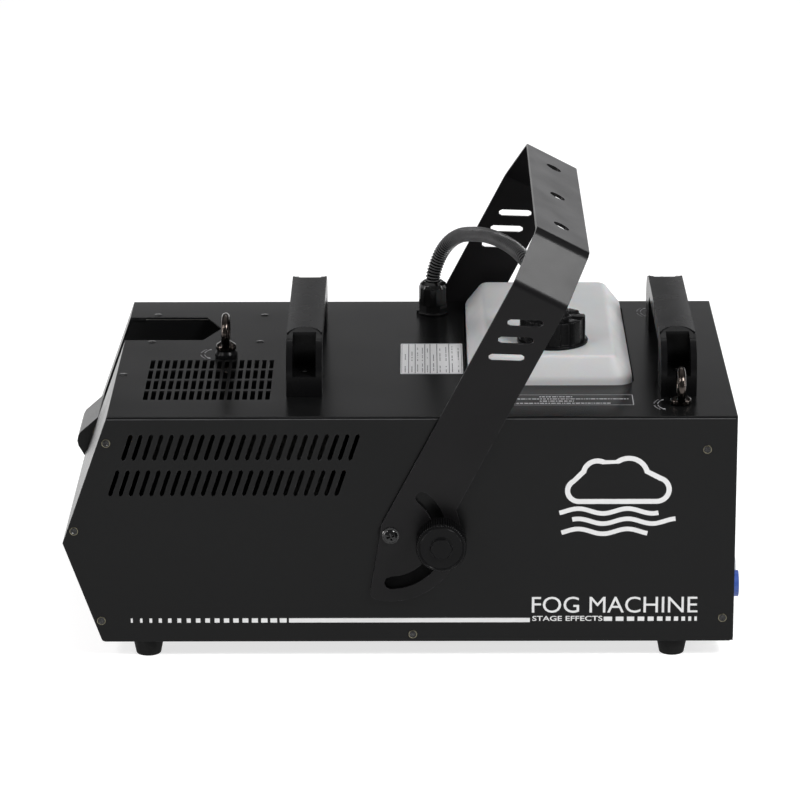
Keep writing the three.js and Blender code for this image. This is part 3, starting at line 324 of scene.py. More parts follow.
def rounded_rectangle(x0, x1, y0, y1, rx, ry=None, steps=5):
    ry = rx if ry is None else ry
    left, right, low, high = x0 + rx, x1 - rx, y0 + ry, y1 - ry
    corners = ((right, high, 0), (left, high, 90), (left, low, 180), (right, low, 270))
    return [p for cx, cy, a in corners for p in arc(cx, cy, rx, a, a + 90, steps, ry)]


def inside(point, outline):
    hit = False
    for (x0, y0), (x1, y1) in zip(outline, outline[1:] + outline[:1]):
        if (y0 > point[1]) != (y1 > point[1]) and point[0] < x0 + (point[1] - y0) * (x1 - x0) / (y1 - y0):
            hit = not hit
    return hit


def filled(outline, holes=()):
    """The flat area inside an outline and outside its holes, as 2-D points and triangles."""
    points, edges = [], []
    for loop in (outline, *holes):
        start = len(points)
        points += [Vector(p) for p in loop]
        edges += [(start + i, start + (i + 1) % len(loop)) for i in range(len(loop))]
    made, _, faces, *_ = delaunay_2d_cdt(points, edges, [], 0, 1e-5)
    kept = []
    for face in faces:
        middle = sum((made[i] for i in face), Vector((0, 0))) / len(face)
        if inside(middle, outline) and not any(inside(middle, hole) for hole in holes):
            kept.append(face)
    return [(p.x, p.y) for p in made], kept


def flat(outline, holes=(), height=0.0):
    points, faces = filled(outline, holes)
    return [(x, y, height) for x, y in points], faces


def slab(outline, low, high, holes=()):
    """A plate with walls, between two heights."""
    points, faces = filled(outline, holes)
    count = len(points)
    made = [(x, y, low) for x, y in points] + [(x, y, high) for x, y in points]
    sides = [list(reversed(f)) for f in faces] + [[count + i for i in f] for f in faces]
    for loop in (outline, *holes):
        start = len(made)
        made += [(x, y, low) for x, y in loop] + [(x, y, high) for x, y in loop]
        n = len(loop)
        sides += [[start + i, start + (i + 1) % n, start + n + (i + 1) % n, start + n + i] for i in range(n)]
    return made, sides


def turned(profile, sides=48, wave=None):
    """Rings about the Z axis through (radius, height) points. wave(angle, radius, height) reshapes a ring."""
    points = []
    for r, h in profile:
        for k in range(sides):
            angle = math.tau * k / sides
            radius, height = wave(angle, r, h) if wave else (r, h)
            points.append((radius * math.cos(angle), radius * math.sin(angle), height))
    return points, rings_joined(len(profile), sides)


def rings_joined(rings, sides):
    return [
        [i * sides + k, i * sides + (k + 1) % sides, (i + 1) * sides + (k + 1) % sides, (i + 1) * sides + k]
        for i in range(rings - 1)
        for k in range(sides)
    ]


def loft(rings):
    points = [p for ring in rings for p in ring]
    return points, rings_joined(len(rings), len(rings[0]))


def softened(points, radius, steps=5):
    """An open line of 2-D points with its corners rounded."""
    out = [points[0]]
    for before, corner, after in zip(points, points[1:], points[2:]):
        a, c, b = Vector(before), Vector(corner), Vector(after)
        ua, ub = (a - c).normalized(), (b - c).normalized()
        half = ua.angle(ub) / 2
        reach = min(radius / math.tan(half), (a - c).length / 2.01, (b - c).length / 2.01)
        start, end = c + ua * reach, c + ub * reach
        for k in range(steps + 1):
            t = k / steps
            q = start * (1 - t) ** 2 + c * 2 * t * (1 - t) + end * t * t
            out.append((q.x, q.y))
    return out + [points[-1]]


def route(points, step):
    """Points every step millimetres along a centripetal Catmull-Rom curve."""
    line = [Vector(p) for p in points]
    line = [2 * line[0] - line[1], *line, 2 * line[-1] - line[-2]]
    dense = []
    for p0, p1, p2, p3 in zip(line, line[1:], line[2:], line[3:]):
        t1 = (p1 - p0).length ** 0.5
        t2 = t1 + (p2 - p1).length ** 0.5
        t3 = t2 + (p3 - p2).length ** 0.5
        for k in range(24):
            t = t1 + (t2 - t1) * k / 24
            a1 = p0 * ((t1 - t) / t1) + p1 * (t / t1)
            a2 = p1 * ((t2 - t) / (t2 - t1)) + p2 * ((t - t1) / (t2 - t1))
            a3 = p2 * ((t3 - t) / (t3 - t2)) + p3 * ((t - t2) / (t3 - t2))
            b1 = a1 * ((t2 - t) / t2) + a2 * (t / t2)
            b2 = a2 * ((t3 - t) / (t3 - t1)) + a3 * ((t - t1) / (t3 - t1))
            dense.append(b1 * ((t2 - t) / (t2 - t1)) + b2 * ((t - t1) / (t2 - t1)))
    dense.append(line[-2])
    out, travelled, due = [], 0.0, 0.0
    for a, b in zip(dense, dense[1:]):
        length = (b - a).length
        while due <= travelled + length:
            out.append(a.lerp(b, (due - travelled) / length))
            due += step
        travelled += length
    return out + [dense[-1]]


def tube(path, radius, sides):
    """A round tube along points; radius(i) is its radius at each of them."""
    side = Vector((0, 1, 0))
    rings = []
    for i, p in enumerate(path):
        along = (path[min(i + 1, len(path) - 1)] - path[max(i - 1, 0)]).normalized()
        side = (side - along * side.dot(along)).normalized()
        other = along.cross(side)
        r = radius(i)
        angles = (math.tau * k / sides for k in range(sides))
        rings.append([p + side * r * math.cos(a) + other * r * math.sin(a) for a in angles])
    rings = [[path[0]] * sides, *rings, [path[-1]] * sides]
    return loft(rings)


def upright(x, y):
    """The matrix that moves a shape to (x, y)."""
    return Matrix.Translation((x, y, 0))


def facing(origin, outward, up=(0, 0, 1)):
    """The matrix that lays a shape at origin, with its Z axis pointing outward and Y towards up."""
    z = Vector(outward).normalized()
    y = (Vector(up) - z * z.dot(Vector(up))).normalized()
    x = y.cross(z)
    turn = Matrix((x, y, z)).transposed().to_4x4()
    return Matrix.Translation(Vector(origin)) @ turn


def smooth_faces(mesh, angle):
    mesh.polygons.foreach_set("use_smooth", [True] * len(mesh.polygons))
    if angle:
        mesh.set_sharp_from_angle(angle=math.radians(angle))


def soften_edges(obj, width, segments=2, angle=32):
    mod = obj.modifiers.new("edges", "BEVEL")
    mod.width = width * MM
    mod.segments = segments
    mod.limit_method = "ANGLE"
    mod.angle_limit = math.radians(angle)
    mod.use_clamp_overlap = True
    weigh = obj.modifiers.new("normals", "WEIGHTED_NORMAL")
    weigh.keep_sharp = True


def make_object(name, shape, materials):
    mesh = bpy.data.meshes.new(name)
    mesh.from_pydata([p * MM for p in shape.points], [], shape.faces)
    for mat in materials:
        mesh.materials.append(MATERIALS[mat])
    mesh.polygons.foreach_set("material_index", shape.marks)
    edit = bmesh.new()
    edit.from_mesh(mesh)
    bmesh.ops.remove_doubles(edit, verts=edit.verts, dist=2e-6)
    bmesh.ops.dissolve_degenerate(edit, edges=edit.edges, dist=1e-7)
    bmesh.ops.recalc_face_normals(edit, faces=edit.faces)
    edit.to_mesh(mesh)
    edit.free()
    obj = bpy.data.objects.new(name, mesh)
    bpy.context.scene.collection.objects.link(obj)
    return obj


def place(obj, body, slot, nodes=()):
    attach(obj, body)
    if nodes:
        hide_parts(*nodes)


def piece(name, shape, materials, body, slot, nodes=(), angle=35, bevel=0.0):
    obj = make_object(name, shape, materials)
    smooth_faces(obj.data, 0 if bevel else angle)
    if bevel:
        soften_edges(obj, bevel)
    place(obj, body, slot, nodes)


def print_on_top(name, shape, materials, slot):
    """A print, drawn at height 0, laid on the case's top."""
    obj = make_object(name, shape, materials)
    obj.location.z = TOP * MM
    place(obj, "chassis", slot)


def apply_modifiers(obj):
    view = bpy.context.evaluated_depsgraph_get()
    made = bpy.data.meshes.new_from_object(obj.evaluated_get(view))
    obj.modifiers.clear()
    old, obj.data = obj.data, made
    bpy.data.meshes.remove(old)


def cut_away(obj, tools):
    """Cuts the tool shapes out of obj, one after another."""
    for i, tool in enumerate(tools):
        cutter = make_object(f"cutter_{i}", tool, [])
        mod = obj.modifiers.new("cut", "BOOLEAN")
        mod.operation, mod.solver, mod.object = "DIFFERENCE", "EXACT", cutter
        apply_modifiers(obj)
        bpy.data.objects.remove(cutter)


# ------------------------------------------------------------------ CAD nodes that stay
NODE_FINISH = {"display": "screen_glass"}  # any other slot's finish has the slot's own name
NODE_EDGE = {"yoke_bracket": 0.5, "outlet_hood": 0.3, "front_panel": 0.3, "rear_panel": 0.25}


def dress_nodes():
    slots = {part["node"]: part["material_slot"] for part in frame["record"]["subparts"]}
    for name, obj in frame["nodes"].items():
        mesh, slot = obj.data, slots[name]
        mesh.materials.clear()
        mesh.materials.append(MATERIALS[NODE_FINISH.get(slot, slot)])
        for layer in ("custom_normal", "sharp_face", "sharp_edge"):
            if layer in mesh.attributes:
                mesh.attributes.remove(mesh.attributes[layer])
        mesh.polygons.foreach_set("use_smooth", [True] * len(mesh.polygons))
        obj.modifiers.new("weld", "WELD").merge_threshold = 1e-6
        if name == "cover":
            obj.modifiers.new("creases", "EDGE_SPLIT").split_angle = math.radians(35)
            obj.modifiers.new("normals", "WEIGHTED_NORMAL")
            continue
        flatten = obj.modifiers.new("flatten", "DECIMATE")
        flatten.decimate_type = "DISSOLVE"
        flatten.angle_limit = math.radians(0.6)
        soften_edges(obj, NODE_EDGE.get(name, 0.2))


# ------------------------------------------------------------------ screws
def cross_recess(a, b):
    """A cross as an outline; a is half its length and b half its width."""
    return [(a, -b), (a, b), (b, b), (b, a), (-b, a), (-b, b),
            (-a, b), (-a, -b), (-b, -b), (-b, -a), (b, -a), (b, -b)]


def screw_head(radius, height, rim=0.25, sides=32):
    """A low domed head with a cross recess that narrows as it goes down."""
    cross = cross_recess(radius * 0.6, radius * 0.14)
    tapered = [(x * 0.72, y * 0.72) for x, y in cross]
    wall = arc(0, 0, radius, 0, 360, sides)[:-1]
    floor = height - min(radius * 0.45, height - 0.05)

    def dome(p):
        return rim + (height - rim) * max(0, 1 - (p.length / radius) ** 2) ** 0.8

    rings = [arc(0, 0, radius * share, 0, 360, sides)[:-1] for share in (1, 0.97, 0.88, 0.75)]
    points = [Vector(p) for ring in rings for p in ring]
    start, n = len(points), len(cross)
    points += [Vector(p) for p in cross]
    edges = [(start + i, start + (i + 1) % n) for i in range(n)]
    made, _, faces, *_ = delaunay_2d_cdt(points, edges, [], 0, 1e-6)
    kept = [f for f in faces if not inside(sum((made[i] for i in f), Vector((0, 0))) / 3, cross)]
    shape = Shape().add(([(p.x, p.y, dome(p)) for p in made], kept))
    upper = [(x, y, dome(Vector((x, y)))) for x, y in cross]
    shape.add(loft([upper, [(x, y, floor) for x, y in tapered]]))
    shape.add(flat(tapered, height=floor))
    shape.add(loft([[(x, y, -0.05) for x, y in wall], [(x, y, rim) for x, y in wall]]))
    return shape


def add_screw(shape, head, matrix):
    turn = Matrix.Rotation(random.uniform(0, math.pi / 2), 4, "Z")
    shape.add(head, 0, matrix @ turn)


# Places from the rear edge and the top, or from the rear and the near edge.
SIDE_SCREWS = ((-584, -25), (-616, -111), (-592.6, -200), (-300.6, -214), (-27.6, -32), (-10.4, -198))
TOP_SCREWS = ((-576.5, 135), (-556, 243), (-556, 337), (-449, 336), (-450, 243))


def make_case_screws():
    head, low_head = screw_head(4.0, 0.75), screw_head(3.8, 0.55)
    sides, tops = Shape(), Shape()
    ring = turned([(3.3, 0.4), (3.5, 0.78), (3.85, 0.66), (4.1, 0.05)], 32)
    for x, z in SIDE_SCREWS:
        for _, outward, wall in SIDES:
            matrix = facing((REAR + x, wall, TOP + z), (0, outward, 0))
            add_screw(sides, head, matrix)
            sides.add(ring, 1, matrix)
    piece("side_screws", sides, ["screw_black", "screw_zinc"], "chassis", "zinc_steel")
    for x, y in TOP_SCREWS:
        add_screw(tops, low_head, facing((REAR + x, NEAR + y, TOP), (0, 0, 1), (1, 0, 0)))
    piece("top_screws", tops, ["screw_black"], "chassis", "dark_steel")


def make_panel_screws():
    head = screw_head(3.4, 0.9)
    rear = Shape()
    panel = Box("rear_panel")
    for y in (panel.low.y + 9, 0, panel.high.y - 9):
        for z in (panel.low.z + 9, panel.high.z - 9):
            add_screw(rear, head, facing((REAR, y, z), (1, 0, 0)))
    for connector in CONNECTORS:
        box = Box(connector)
        for sign in (-1, 1):
            corner = (REAR + 2.3, box.centre.y + sign * 10.4, box.centre.z - sign * 12.8)
            add_screw(rear, screw_head(1.9, 0.6), facing(corner, (1, 0, 0)))
    fan = Box("fan_frame")
    inset = 4.5
    for y in (fan.low.y + inset, fan.high.y - inset):
        for z in (fan.low.z + inset, fan.high.z - inset):
            add_screw(rear, head, facing((REAR, y, z), (1, 0, 0)))
    piece("rear_screws", rear, ["screw_zinc"], "chassis", "zinc_steel")


def make_pivot_screws():
    head = screw_head(6.6, 3.6, rim=1.0, sides=40)
    yoke = Box("yoke_bracket")
    collar = [(0, -34), (4, -34), (4, 0.3), (7.6, 0.3), (8, 0.7), (8, 1.2), (7.6, 1.6), (6.4, 1.7)]
    for side, sign, _ in SIDES:
        node = Box(f"pivot_screw_{side}")
        face = yoke.low.y if sign < 0 else yoke.high.y
        matrix = facing((node.centre.x, face, node.centre.z), (0, sign, 0))
        shape = Shape().add(turned(collar), 0, matrix)
        shape.add(head, 0, matrix @ Matrix.Translation((0, 0, 1.3)) @ Matrix.Rotation(0.3, 4, "Z"))
        piece(f"pivot_head_{side}", shape, ["screw_black"], "chassis", "dark_steel", [f"pivot_screw_{side}"])


# ------------------------------------------------------------------ printing
def lettering(text, size, width, matrix, align="LEFT", weight=0.0):
    """Flat letters of a given cap height, fitted to a width; they lie in the matrix's XY plane."""
    data = bpy.data.curves.new("letters", "FONT")
    data.body = text
    data.align_x = align
    data.resolution_u = 4
    data.offset = weight
    obj = bpy.data.objects.new("letters", data)
    bpy.context.scene.collection.objects.link(obj)
    view = bpy.context.evaluated_depsgraph_get()
    mesh = bpy.data.meshes.new_from_object(obj.evaluated_get(view))
    xs = [v.co.x for v in mesh.vertices]
    ys = [v.co.y for v in mesh.vertices]
    fit_y = size / (max(ys) - min(ys))
    fit_x = width / (max(xs) - min(xs)) if width else fit_y
    made = ([((v.co.x - min(xs) if align == "LEFT" else v.co.x) * fit_x, (v.co.y - min(ys)) * fit_y, 0)
             for v in mesh.vertices], [list(p.vertices) for p in mesh.polygons])
    bpy.data.objects.remove(obj)
    bpy.data.meshes.remove(mesh)
    return [matrix @ Vector(p) for p in made[0]], made[1]


def bar(x0, x1, y0, y1, height=0.0):
    return [(x0, y0, height), (x1, y0, height), (x1, y1, height), (x0, y1, height)], [[0, 1, 2, 3]]


def stroke(points, width):
    """A band of even width along an open line of 2-D points."""
    line = [Vector(p) for p in points]
    left, right = [], []
    for i, p in enumerate(line):
        along = (line[min(i + 1, len(line) - 1)] - line[max(i - 1, 0)]).normalized()
        across = Vector((-along.y, along.x)) * width / 2
        left.append(p + across)
        right.append(p - across)
    n = len(line)
    made = [(p.x, p.y, 0) for p in left + right]
    return made, [[i, i + 1, n + i + 1, n + i] for i in range(n - 1)]


def mist_emblem():
    """A cloud over three drifting waves, 130 mm wide."""
    shape = Shape()
    cloud = arc(-34, 6, 13, 270, 118, 14) + arc(-17, 22, 15.5, 165, 62, 14)
    cloud += arc(12, 20, 20, 128, 18, 16) + arc(38, 7, 14, 72, -90, 16)
    ring = arc(-34, 6, 8.2, 270, 122, 14) + arc(-17, 22, 10.7, 172, 66, 14)
    ring += arc(12, 20, 15.2, 124, 12, 16) + arc(38, 7, 9.2, 76, -90, 16)
    shape.add(flat(cloud, [ring]))
    steps = 40
    for y, start, end in ((-14, -52, 40), (-24, -40, 56), (-34, -50, 30)):
        xs = [start + (end - start) * k / steps for k in range(steps + 1)]
        shape.add(stroke([(x, y + 2.4 * math.sin(x / 7.3)) for x in xs], 4.4))
    return shape


def side_print(side, sign, wall):
    """Emblem, words and stripe on one side; sign is -1 for the near side and 1 for the far one."""
    wall += sign * 0.12
    shape = Shape()

    def at(x, z):
        return facing((REAR + x, wall, TOP + z), (0, sign, 0))

    def band(x0, x1, z0, z1):
        matrix = facing((0, wall, 0), (0, sign, 0))
        a, b = (REAR + x0) * -sign, (REAR + x1) * -sign
        shape.add(bar(min(a, b), max(a, b), TOP + z0, TOP + z1), 0, matrix)

    dashes, x, length, line_from = 17, -565.0, 1.8, -416.6
    stripe = (-202.1, -197.8)
    pitch = (line_from - x) / dashes
    for i in range(dashes):
        band(x, x + length + (pitch - 2.2 - length) * (i / (dashes - 1)) ** 0.85, *stripe)
        x += pitch
    band(line_from, -190.8, *stripe)
    start = -121.6
    for i in range(11):
        band(start, start + 7.9 - 0.56 * i, -201.0, -196.7)
        start += 11.2 - 0.6 * i
    large_from, small_from = (-189.0, -188.5) if sign < 0 else (-34.0, -122.8)
    shape.add(lettering("FOG MACHINE", 16.0, 155.0, at(large_from, -192.8)))
    shape.add(lettering("STAGE EFFECTS", 5.0, 65.7, at(small_from, -200.9), weight=0.012))
    shape.add(mist_emblem(), 0, at(-112, -78))
    piece(f"print_{side}", shape, ["print_white"], "chassis", "case_paint", angle=0)


def print_dashes(shape, x0, x1, y0, y1, mark, height=0.16, along="y", fill=0.86):
    """A line of text-like dashes in a box, each of its own length."""
    lengthwise = (y0, y1) if along == "y" else (x0, x1)
    at = lengthwise[0]
    while at < lengthwise[1] - 0.8:
        size = min(random.uniform(0.9, 4.4), lengthwise[1] - at)
        if random.random() < fill:
            box = (x0, x1, at, at + size) if along == "y" else (at, at + size, y0, y1)
            shape.add(bar(*box, height), mark)
        at += size + random.uniform(0.6, 1.1)


def make_rating_label():
    x0, x1, y0, y1 = REAR - 312, REAR - 252, NEAR + 135, NEAR + 235
    shape = Shape()
    outline = rounded_rectangle(x0, x1, y0, y1, 1.2, steps=3)
    shape.add(slab(outline, 0, 0.08), 0)
    columns = [0.13, 0.235, 0.39, 0.475, 0.585, 0.78]
    for c in columns:
        x = x0 + (x1 - x0) * c
        shape.add(bar(x - 0.36, x + 0.36, y0 + 1.5, y1 - 1.5, 0.14), 1)
    for x in (x0 + 1.2, x1 - 1.2):
        shape.add(bar(x - 0.2, x + 0.2, y0 + 1.5, y1 - 1.5, 0.14), 1)
    for y in (y0 + 1.5, y1 - 1.5):
        shape.add(bar(x0 + 1.2, x1 - 1.2, y - 0.2, y + 0.2, 0.14), 1)
    edges = [0.02, *columns, 0.98]
    for a, b in zip(edges, edges[1:]):
        width = (b - a) * (x1 - x0)
        lines = max(1, int(width / 4.2))
        for k in range(lines):
            x = x0 + a * (x1 - x0) + width * (k + 0.5) / lines
            print_dashes(shape, x - 0.42, x + 0.42, y0 + 5, y0 + random.uniform(24, 34), 1)
            print_dashes(shape, x - 0.42, x + 0.42, y0 + 42, y0 + random.uniform(60, 94), 1, fill=0.7)
    print_on_top("rating_label", shape, ["label_paper", "label_ink"], "can_plastic")


def make_notice():
    """A thin outline with four lines of dashes beside the can."""
    x0, x1, y0, y1 = REAR - 240, REAR - 94, NEAR + 35.6, NEAR + 67.5
    shape = Shape()
    outline = rounded_rectangle(x0, x1, y0, y1, 1, steps=2)
    hole = rounded_rectangle(x0 + 0.7, x1 - 0.7, y0 + 0.7, y1 - 0.7, 0.6, steps=2)
    shape.add(flat(outline, [hole], 0.1))
    for row, (a, b) in enumerate(((0.40, 0.62), (0.03, 0.97), (0.40, 0.62), (0.15, 0.86))):
        y = y1 - 6.5 - row * 6.6
        start, end = x0 + a * (x1 - x0), x0 + b * (x1 - x0)
        print_dashes(shape, start, end, y - 1.3, y + 1.3, 0, 0.1, along="x", fill=1)
    print_on_top("notice_print", shape, ["print_grey"], "case_paint")


def make_turn_legends():
    """Two arrows round each ring eye that show which way it locks."""
    shape = Shape()
    for eye in EYES:
        box = Box(f"lock_eye_{eye}")
        centre = (box.centre.x, box.centre.y + (9 if eye == "front" else -3))
        for start, end in ((142, 174), (186, 218)):
            line = arc(*centre, 21.5, start, end, 12)
            shape.add(stroke(line, 0.7), 0, Matrix.Translation((0, 0, 0.1)))
            tip = math.radians(start if start < 180 else end)
            turn = 1 if start < 180 else -1
            out = Vector((math.cos(tip), math.sin(tip)))
            along = Vector((out.y, -out.x)) * turn
            base = Vector(centre) + out * 21.5
            head = [base + along * 3.2, base + out * 1.6, base - out * 1.6]
            shape.add(([(p.x, p.y, 0.1) for p in head], [[0, 1, 2]]))
            for k in range(5):
                angle = math.radians(start + (end - start) * (k + 0.5) / 5)
                spot = Vector(centre) + Vector((math.cos(angle), math.sin(angle))) * 25
                shape.add(bar(spot.x - 0.6, spot.x + 0.6, spot.y - 0.6, spot.y + 0.6, 0.1))
    print_on_top("turn_legends", shape, ["print_grey"], "case_paint")


def make_rear_print():
    shape = Shape()
    wall = REAR + 0.12

    def write(text, size, y, z):
        shape.add(lettering(text, size, 0, facing((wall, y, z), (1, 0, 0)), "CENTER"))

    names = {"power_inlet": "POWER IN", "power_outlet": "POWER OUT", "signal_input": "SIGNAL IN",
             "signal_output": "SIGNAL OUT", "fuse_cap": "FUSE", "power_rocker": "POWER"}
    for node, text in names.items():
        write(text, 3.0, Box(node).centre.y, 76.5)
    for key in ("menu", "up", "down", "enter"):
        write(key.upper(), 3.0, Box(f"button_{key}").centre.y, 139.5)
    dot = arc(0, 0, 2.6, 0, 360, 20)[:-1]
    for node in ("power_inlet", "signal_input"):
        shape.add(flat(dot), 0, facing((wall, Box(node).centre.y, 84.5), (1, 0, 0)))
    window = Box("display_window")
    frame_out = rounded_rectangle(window.low.y - 17, window.high.y + 9, 130.5, window.high.z + 9, 4)
    frame_in = rounded_rectangle(window.low.y - 16.2, window.high.y + 8.2, 131.3, window.high.z + 8.2, 3.4)
    points, faces = flat(frame_out, [frame_in])
    shape.add(([(y, z, 0) for y, z, _ in points], faces), 0, facing((wall, 0, 0), (1, 0, 0)))
    piece("rear_print", shape, ["print_white"], "chassis", "case_paint", angle=0)


# ------------------------------------------------------------------ fluid can, cap, hose and gland
def make_can():
    box = Box("fluid_tank")
    x0, x1, y0, y1 = box.low.x, box.high.x, box.low.y, box.high.y
    bottom, top, shoulder, run = box.low.z, TOP + 26.5, TOP + 6, 16.5
    profile = softened([(7, bottom), (0, bottom), (0, shoulder), (run, top), (run + 16, top + 0.3)], 8.5, 8)
    rings = []
    for inset, z in profile:
        slope = min(inset, run)
        dx, dy = inset, slope / 2 + max(0, inset - run)
        rx = max(23 - slope, 6.5) - max(0, inset - run) * 0.3
        ring = rounded_rectangle(x0 + dx, x1 - dx, y0 + dy, y1 - dy, rx, rx / 2 + 2, 8)
        rings.append([(x, y, z) for x, y in ring])
    cx, cy, lid = box.centre.x, box.centre.y, rings[-1]
    for share in (0.75, 0.5, 0.25, 0.0):
        rings.append([(cx + (x - cx) * share, cy + (y - cy) * share, top + 0.3) for x, y, _ in lid])
    floor = [[(cx, cy, bottom)] * len(rings[0])]
    shape = Shape().add(loft(floor + rings))
    cap = Box("tank_cap")
    thread = [(25, top - 1), (25, top + 3)]
    for k in range(3):
        z = top + 4.5 + 4.3 * k
        thread += [(25, z), (25.3, z + 0.8), (25.3, z + 1.6), (25, z + 2.4)]
    thread += [(25, top + 19.5), (21.5, top + 19.5), (21, top + 18), (21, top - 1)]
    shape.add(turned(thread, 48), 0, upright(cap.centre.x, cap.centre.y))
    piece("can_shell", shape, ["can_plastic"], "chassis", "can_plastic", ["fluid_tank"], angle=50)


def make_cap():
    box = Box("tank_cap")
    low, boss = box.low.z, box.high.z
    rim = boss - 6
    lugs, land, step = 8, math.radians(10.5), math.radians(4)

    def wave(angle, r, h):
        pitch = math.tau / lugs
        off = abs((angle + pitch / 2) % pitch - pitch / 2)
        lug = 1 - min(max((off - land) / step, 0), 1)
        lug = lug * lug * (3 - 2 * lug)
        if h > low + 2.6 and 28 < r < 33:
            return r - 2.3 * (1 - lug), h - (0.9 * (1 - lug) if h > rim - 2 else 0)
        if h > rim - 3 and 17.5 < r <= 28:
            return r, h - 1.9 * (1 - lug) * min(1, (r - 17.4) / 2)
        return r, h

    skirt = [(33, low), (34, low), (34, low + 2.6), (31.4, low + 2.7), (31.3, rim), (27, rim + 0.2)]
    outer = softened(skirt, 0.8, 3)
    profile = [(0, rim - 5.5), (25.6, rim - 5.5), (25.6, low), *outer]
    profile += [(24, rim), (21, rim), (19, rim), (17.6, rim - 0.2), (16.3, rim + 0.6)]
    profile += softened([(16, rim + 1.5), (15.8, boss), (9.2, boss), (8.6, rim + 1)], 1.1, 4)
    profile += [(8.5, rim + 0.6), (0, rim + 0.6)]
    shape = Shape().add(turned(profile, 192, wave), 0, upright(box.centre.x, box.centre.y))
    piece("cap_shell", shape, ["black_plastic"], "screw_cap", "black_plastic", ["tank_cap"], angle=38)


HOSE_ROUTE = [
    (32.5, 149, 262), (32.5, 149, 276), (35.5, 148.5, 288), (41, 146, 302), (49, 138, 315), (59, 123, 325.5),
    (71, 101, 333), (84, 76, 338.5), (97, 49, 341), (110, 22, 340), (120.5, -2, 335.5), (130, -19, 327),
    (138.5, -30.5, 316), (144, -36.5, 304.5), (146, -38, 296), (146, -38, 290.8),
]


def make_hose():
    """A near-black core carrying a row of rounded ribs 3.2 mm apart; the core's colour is painted shade in
    the valleys, and the ribs' lighter grey is a painted highlight on the crests.
    """
    path = route(HOSE_ROUTE, 0.4)
    shape = Shape().add(tube(path[::4], lambda i: 6.15, 20))
    rib = (6.05, 7.0, 7.46, 7.0, 6.05)
    for start in range(1, len(path) - 5, 8):
        shape.add(tube(path[start:start + 5], lambda i: rib[i], 24), 1)
    materials = ["hose_valley_shade", "rib_highlight_plastic"]
    piece("hose_corrugated", shape, materials, "chassis", "hose_plastic", ["suction_hose"], angle=60)


def make_gland():
    nut, body = Box("gland_nut"), Box("gland_body")
    x, y, top = nut.centre.x, nut.centre.y, nut.high.z
    at = upright(x, y)

    def flutes(angle, r, h):
        depth = 0.75 * min(max((top - 5 - h) / 2, 0), 1) * min(max((h - nut.low.z - 1.5) / 1, 0), 1)
        return (r - depth * (0.5 - 0.5 * math.cos(14 * angle)) ** 0.6, h) if r > 12 else (r, h)

    low = nut.low.z
    corners = [(13, low), (14.3, low), (14.3, top - 6.5), (12.9, top - 2.6), (9.6, top), (8, top - 0.2)]
    outer = softened(corners, 1.4, 4)
    wall = [(14.3, low + 2 + k * 2.0) for k in range(8)]
    outer = outer[:7] + wall + outer[7:]
    shape = Shape().add(turned([(7.9, low), *outer, (7.9, top - 6)], 168, flutes), 0, at)
    piece("gland_dome", shape, ["hose_plastic"], "chassis", "black_plastic", ["gland_nut"], angle=40)
    base = Shape()
    collar = softened([(5.5, TOP + 0.3), (14.9, TOP + 0.3), (14.9, TOP + 2.6), (13.2, TOP + 2.8)], 0.6, 3)
    base.add(turned([*collar, (13.2, TOP + 3.4), (5.5, TOP + 3.4)], 64), 0, at)
    hexagon = arc(0, 0, 13.9, 0, 360, 6)[:-1]
    base.add(slab(hexagon, TOP + 3.0, body.high.z), 0, at)
    sleeve = [(8, TOP - 14), (8, TOP + 0.4), (5.5, TOP + 0.4), (5.5, TOP - 14), (8, TOP - 14)]
    base.add(turned(sleeve, 32), 0, at)
    lug = rounded_rectangle(-16.6, -12.5, -1.8, 1.8, 0.9)
    base.add(slab(lug, TOP + 0.3, TOP + 3.4), 0, at)
    piece("gland_base", base, ["hose_plastic"], "chassis", "black_plastic", ["gland_body"], bevel=0.35)


# ------------------------------------------------------------------ handles, eyes, knobs and feet
def yz_prism(outline, x0, x1, holes=()):
    """A prism along X over an outline in (y, z)."""
    points, faces = slab(outline, x0, x1, holes)
    return [(h, y, z) for y, z, h in points], faces


def dish(x, side, base, height, floor, end):
    """A round scoop over a handle's end, as a cutter; its floor slopes down from 85 mm to end."""
    radius, middle = 15.8, 100.8
    slope = (height - floor) / (end - middle + radius)
    chord = math.degrees(math.asin((end - middle) / radius))
    outer = arc(x, side * middle, radius, chord, 180 - chord, 16, side * radius)
    inner = arc(x, side * middle, radius, 180 - chord, 360 + chord, 30, side * radius)
    ring = outer + inner[1:-1]

    def low(points):
        return [(a, b, base + max(floor, height - slope * (abs(b) - middle + radius))) for a, b in points]

    lid = [(a, b, base + height + 5) for a, b in ring]
    shape = Shape().add(loft([low(ring), lid]))
    for sheet in (low(outer), low(inner), lid):
        shape.add((sheet, [list(range(len(sheet)))]))
    return shape


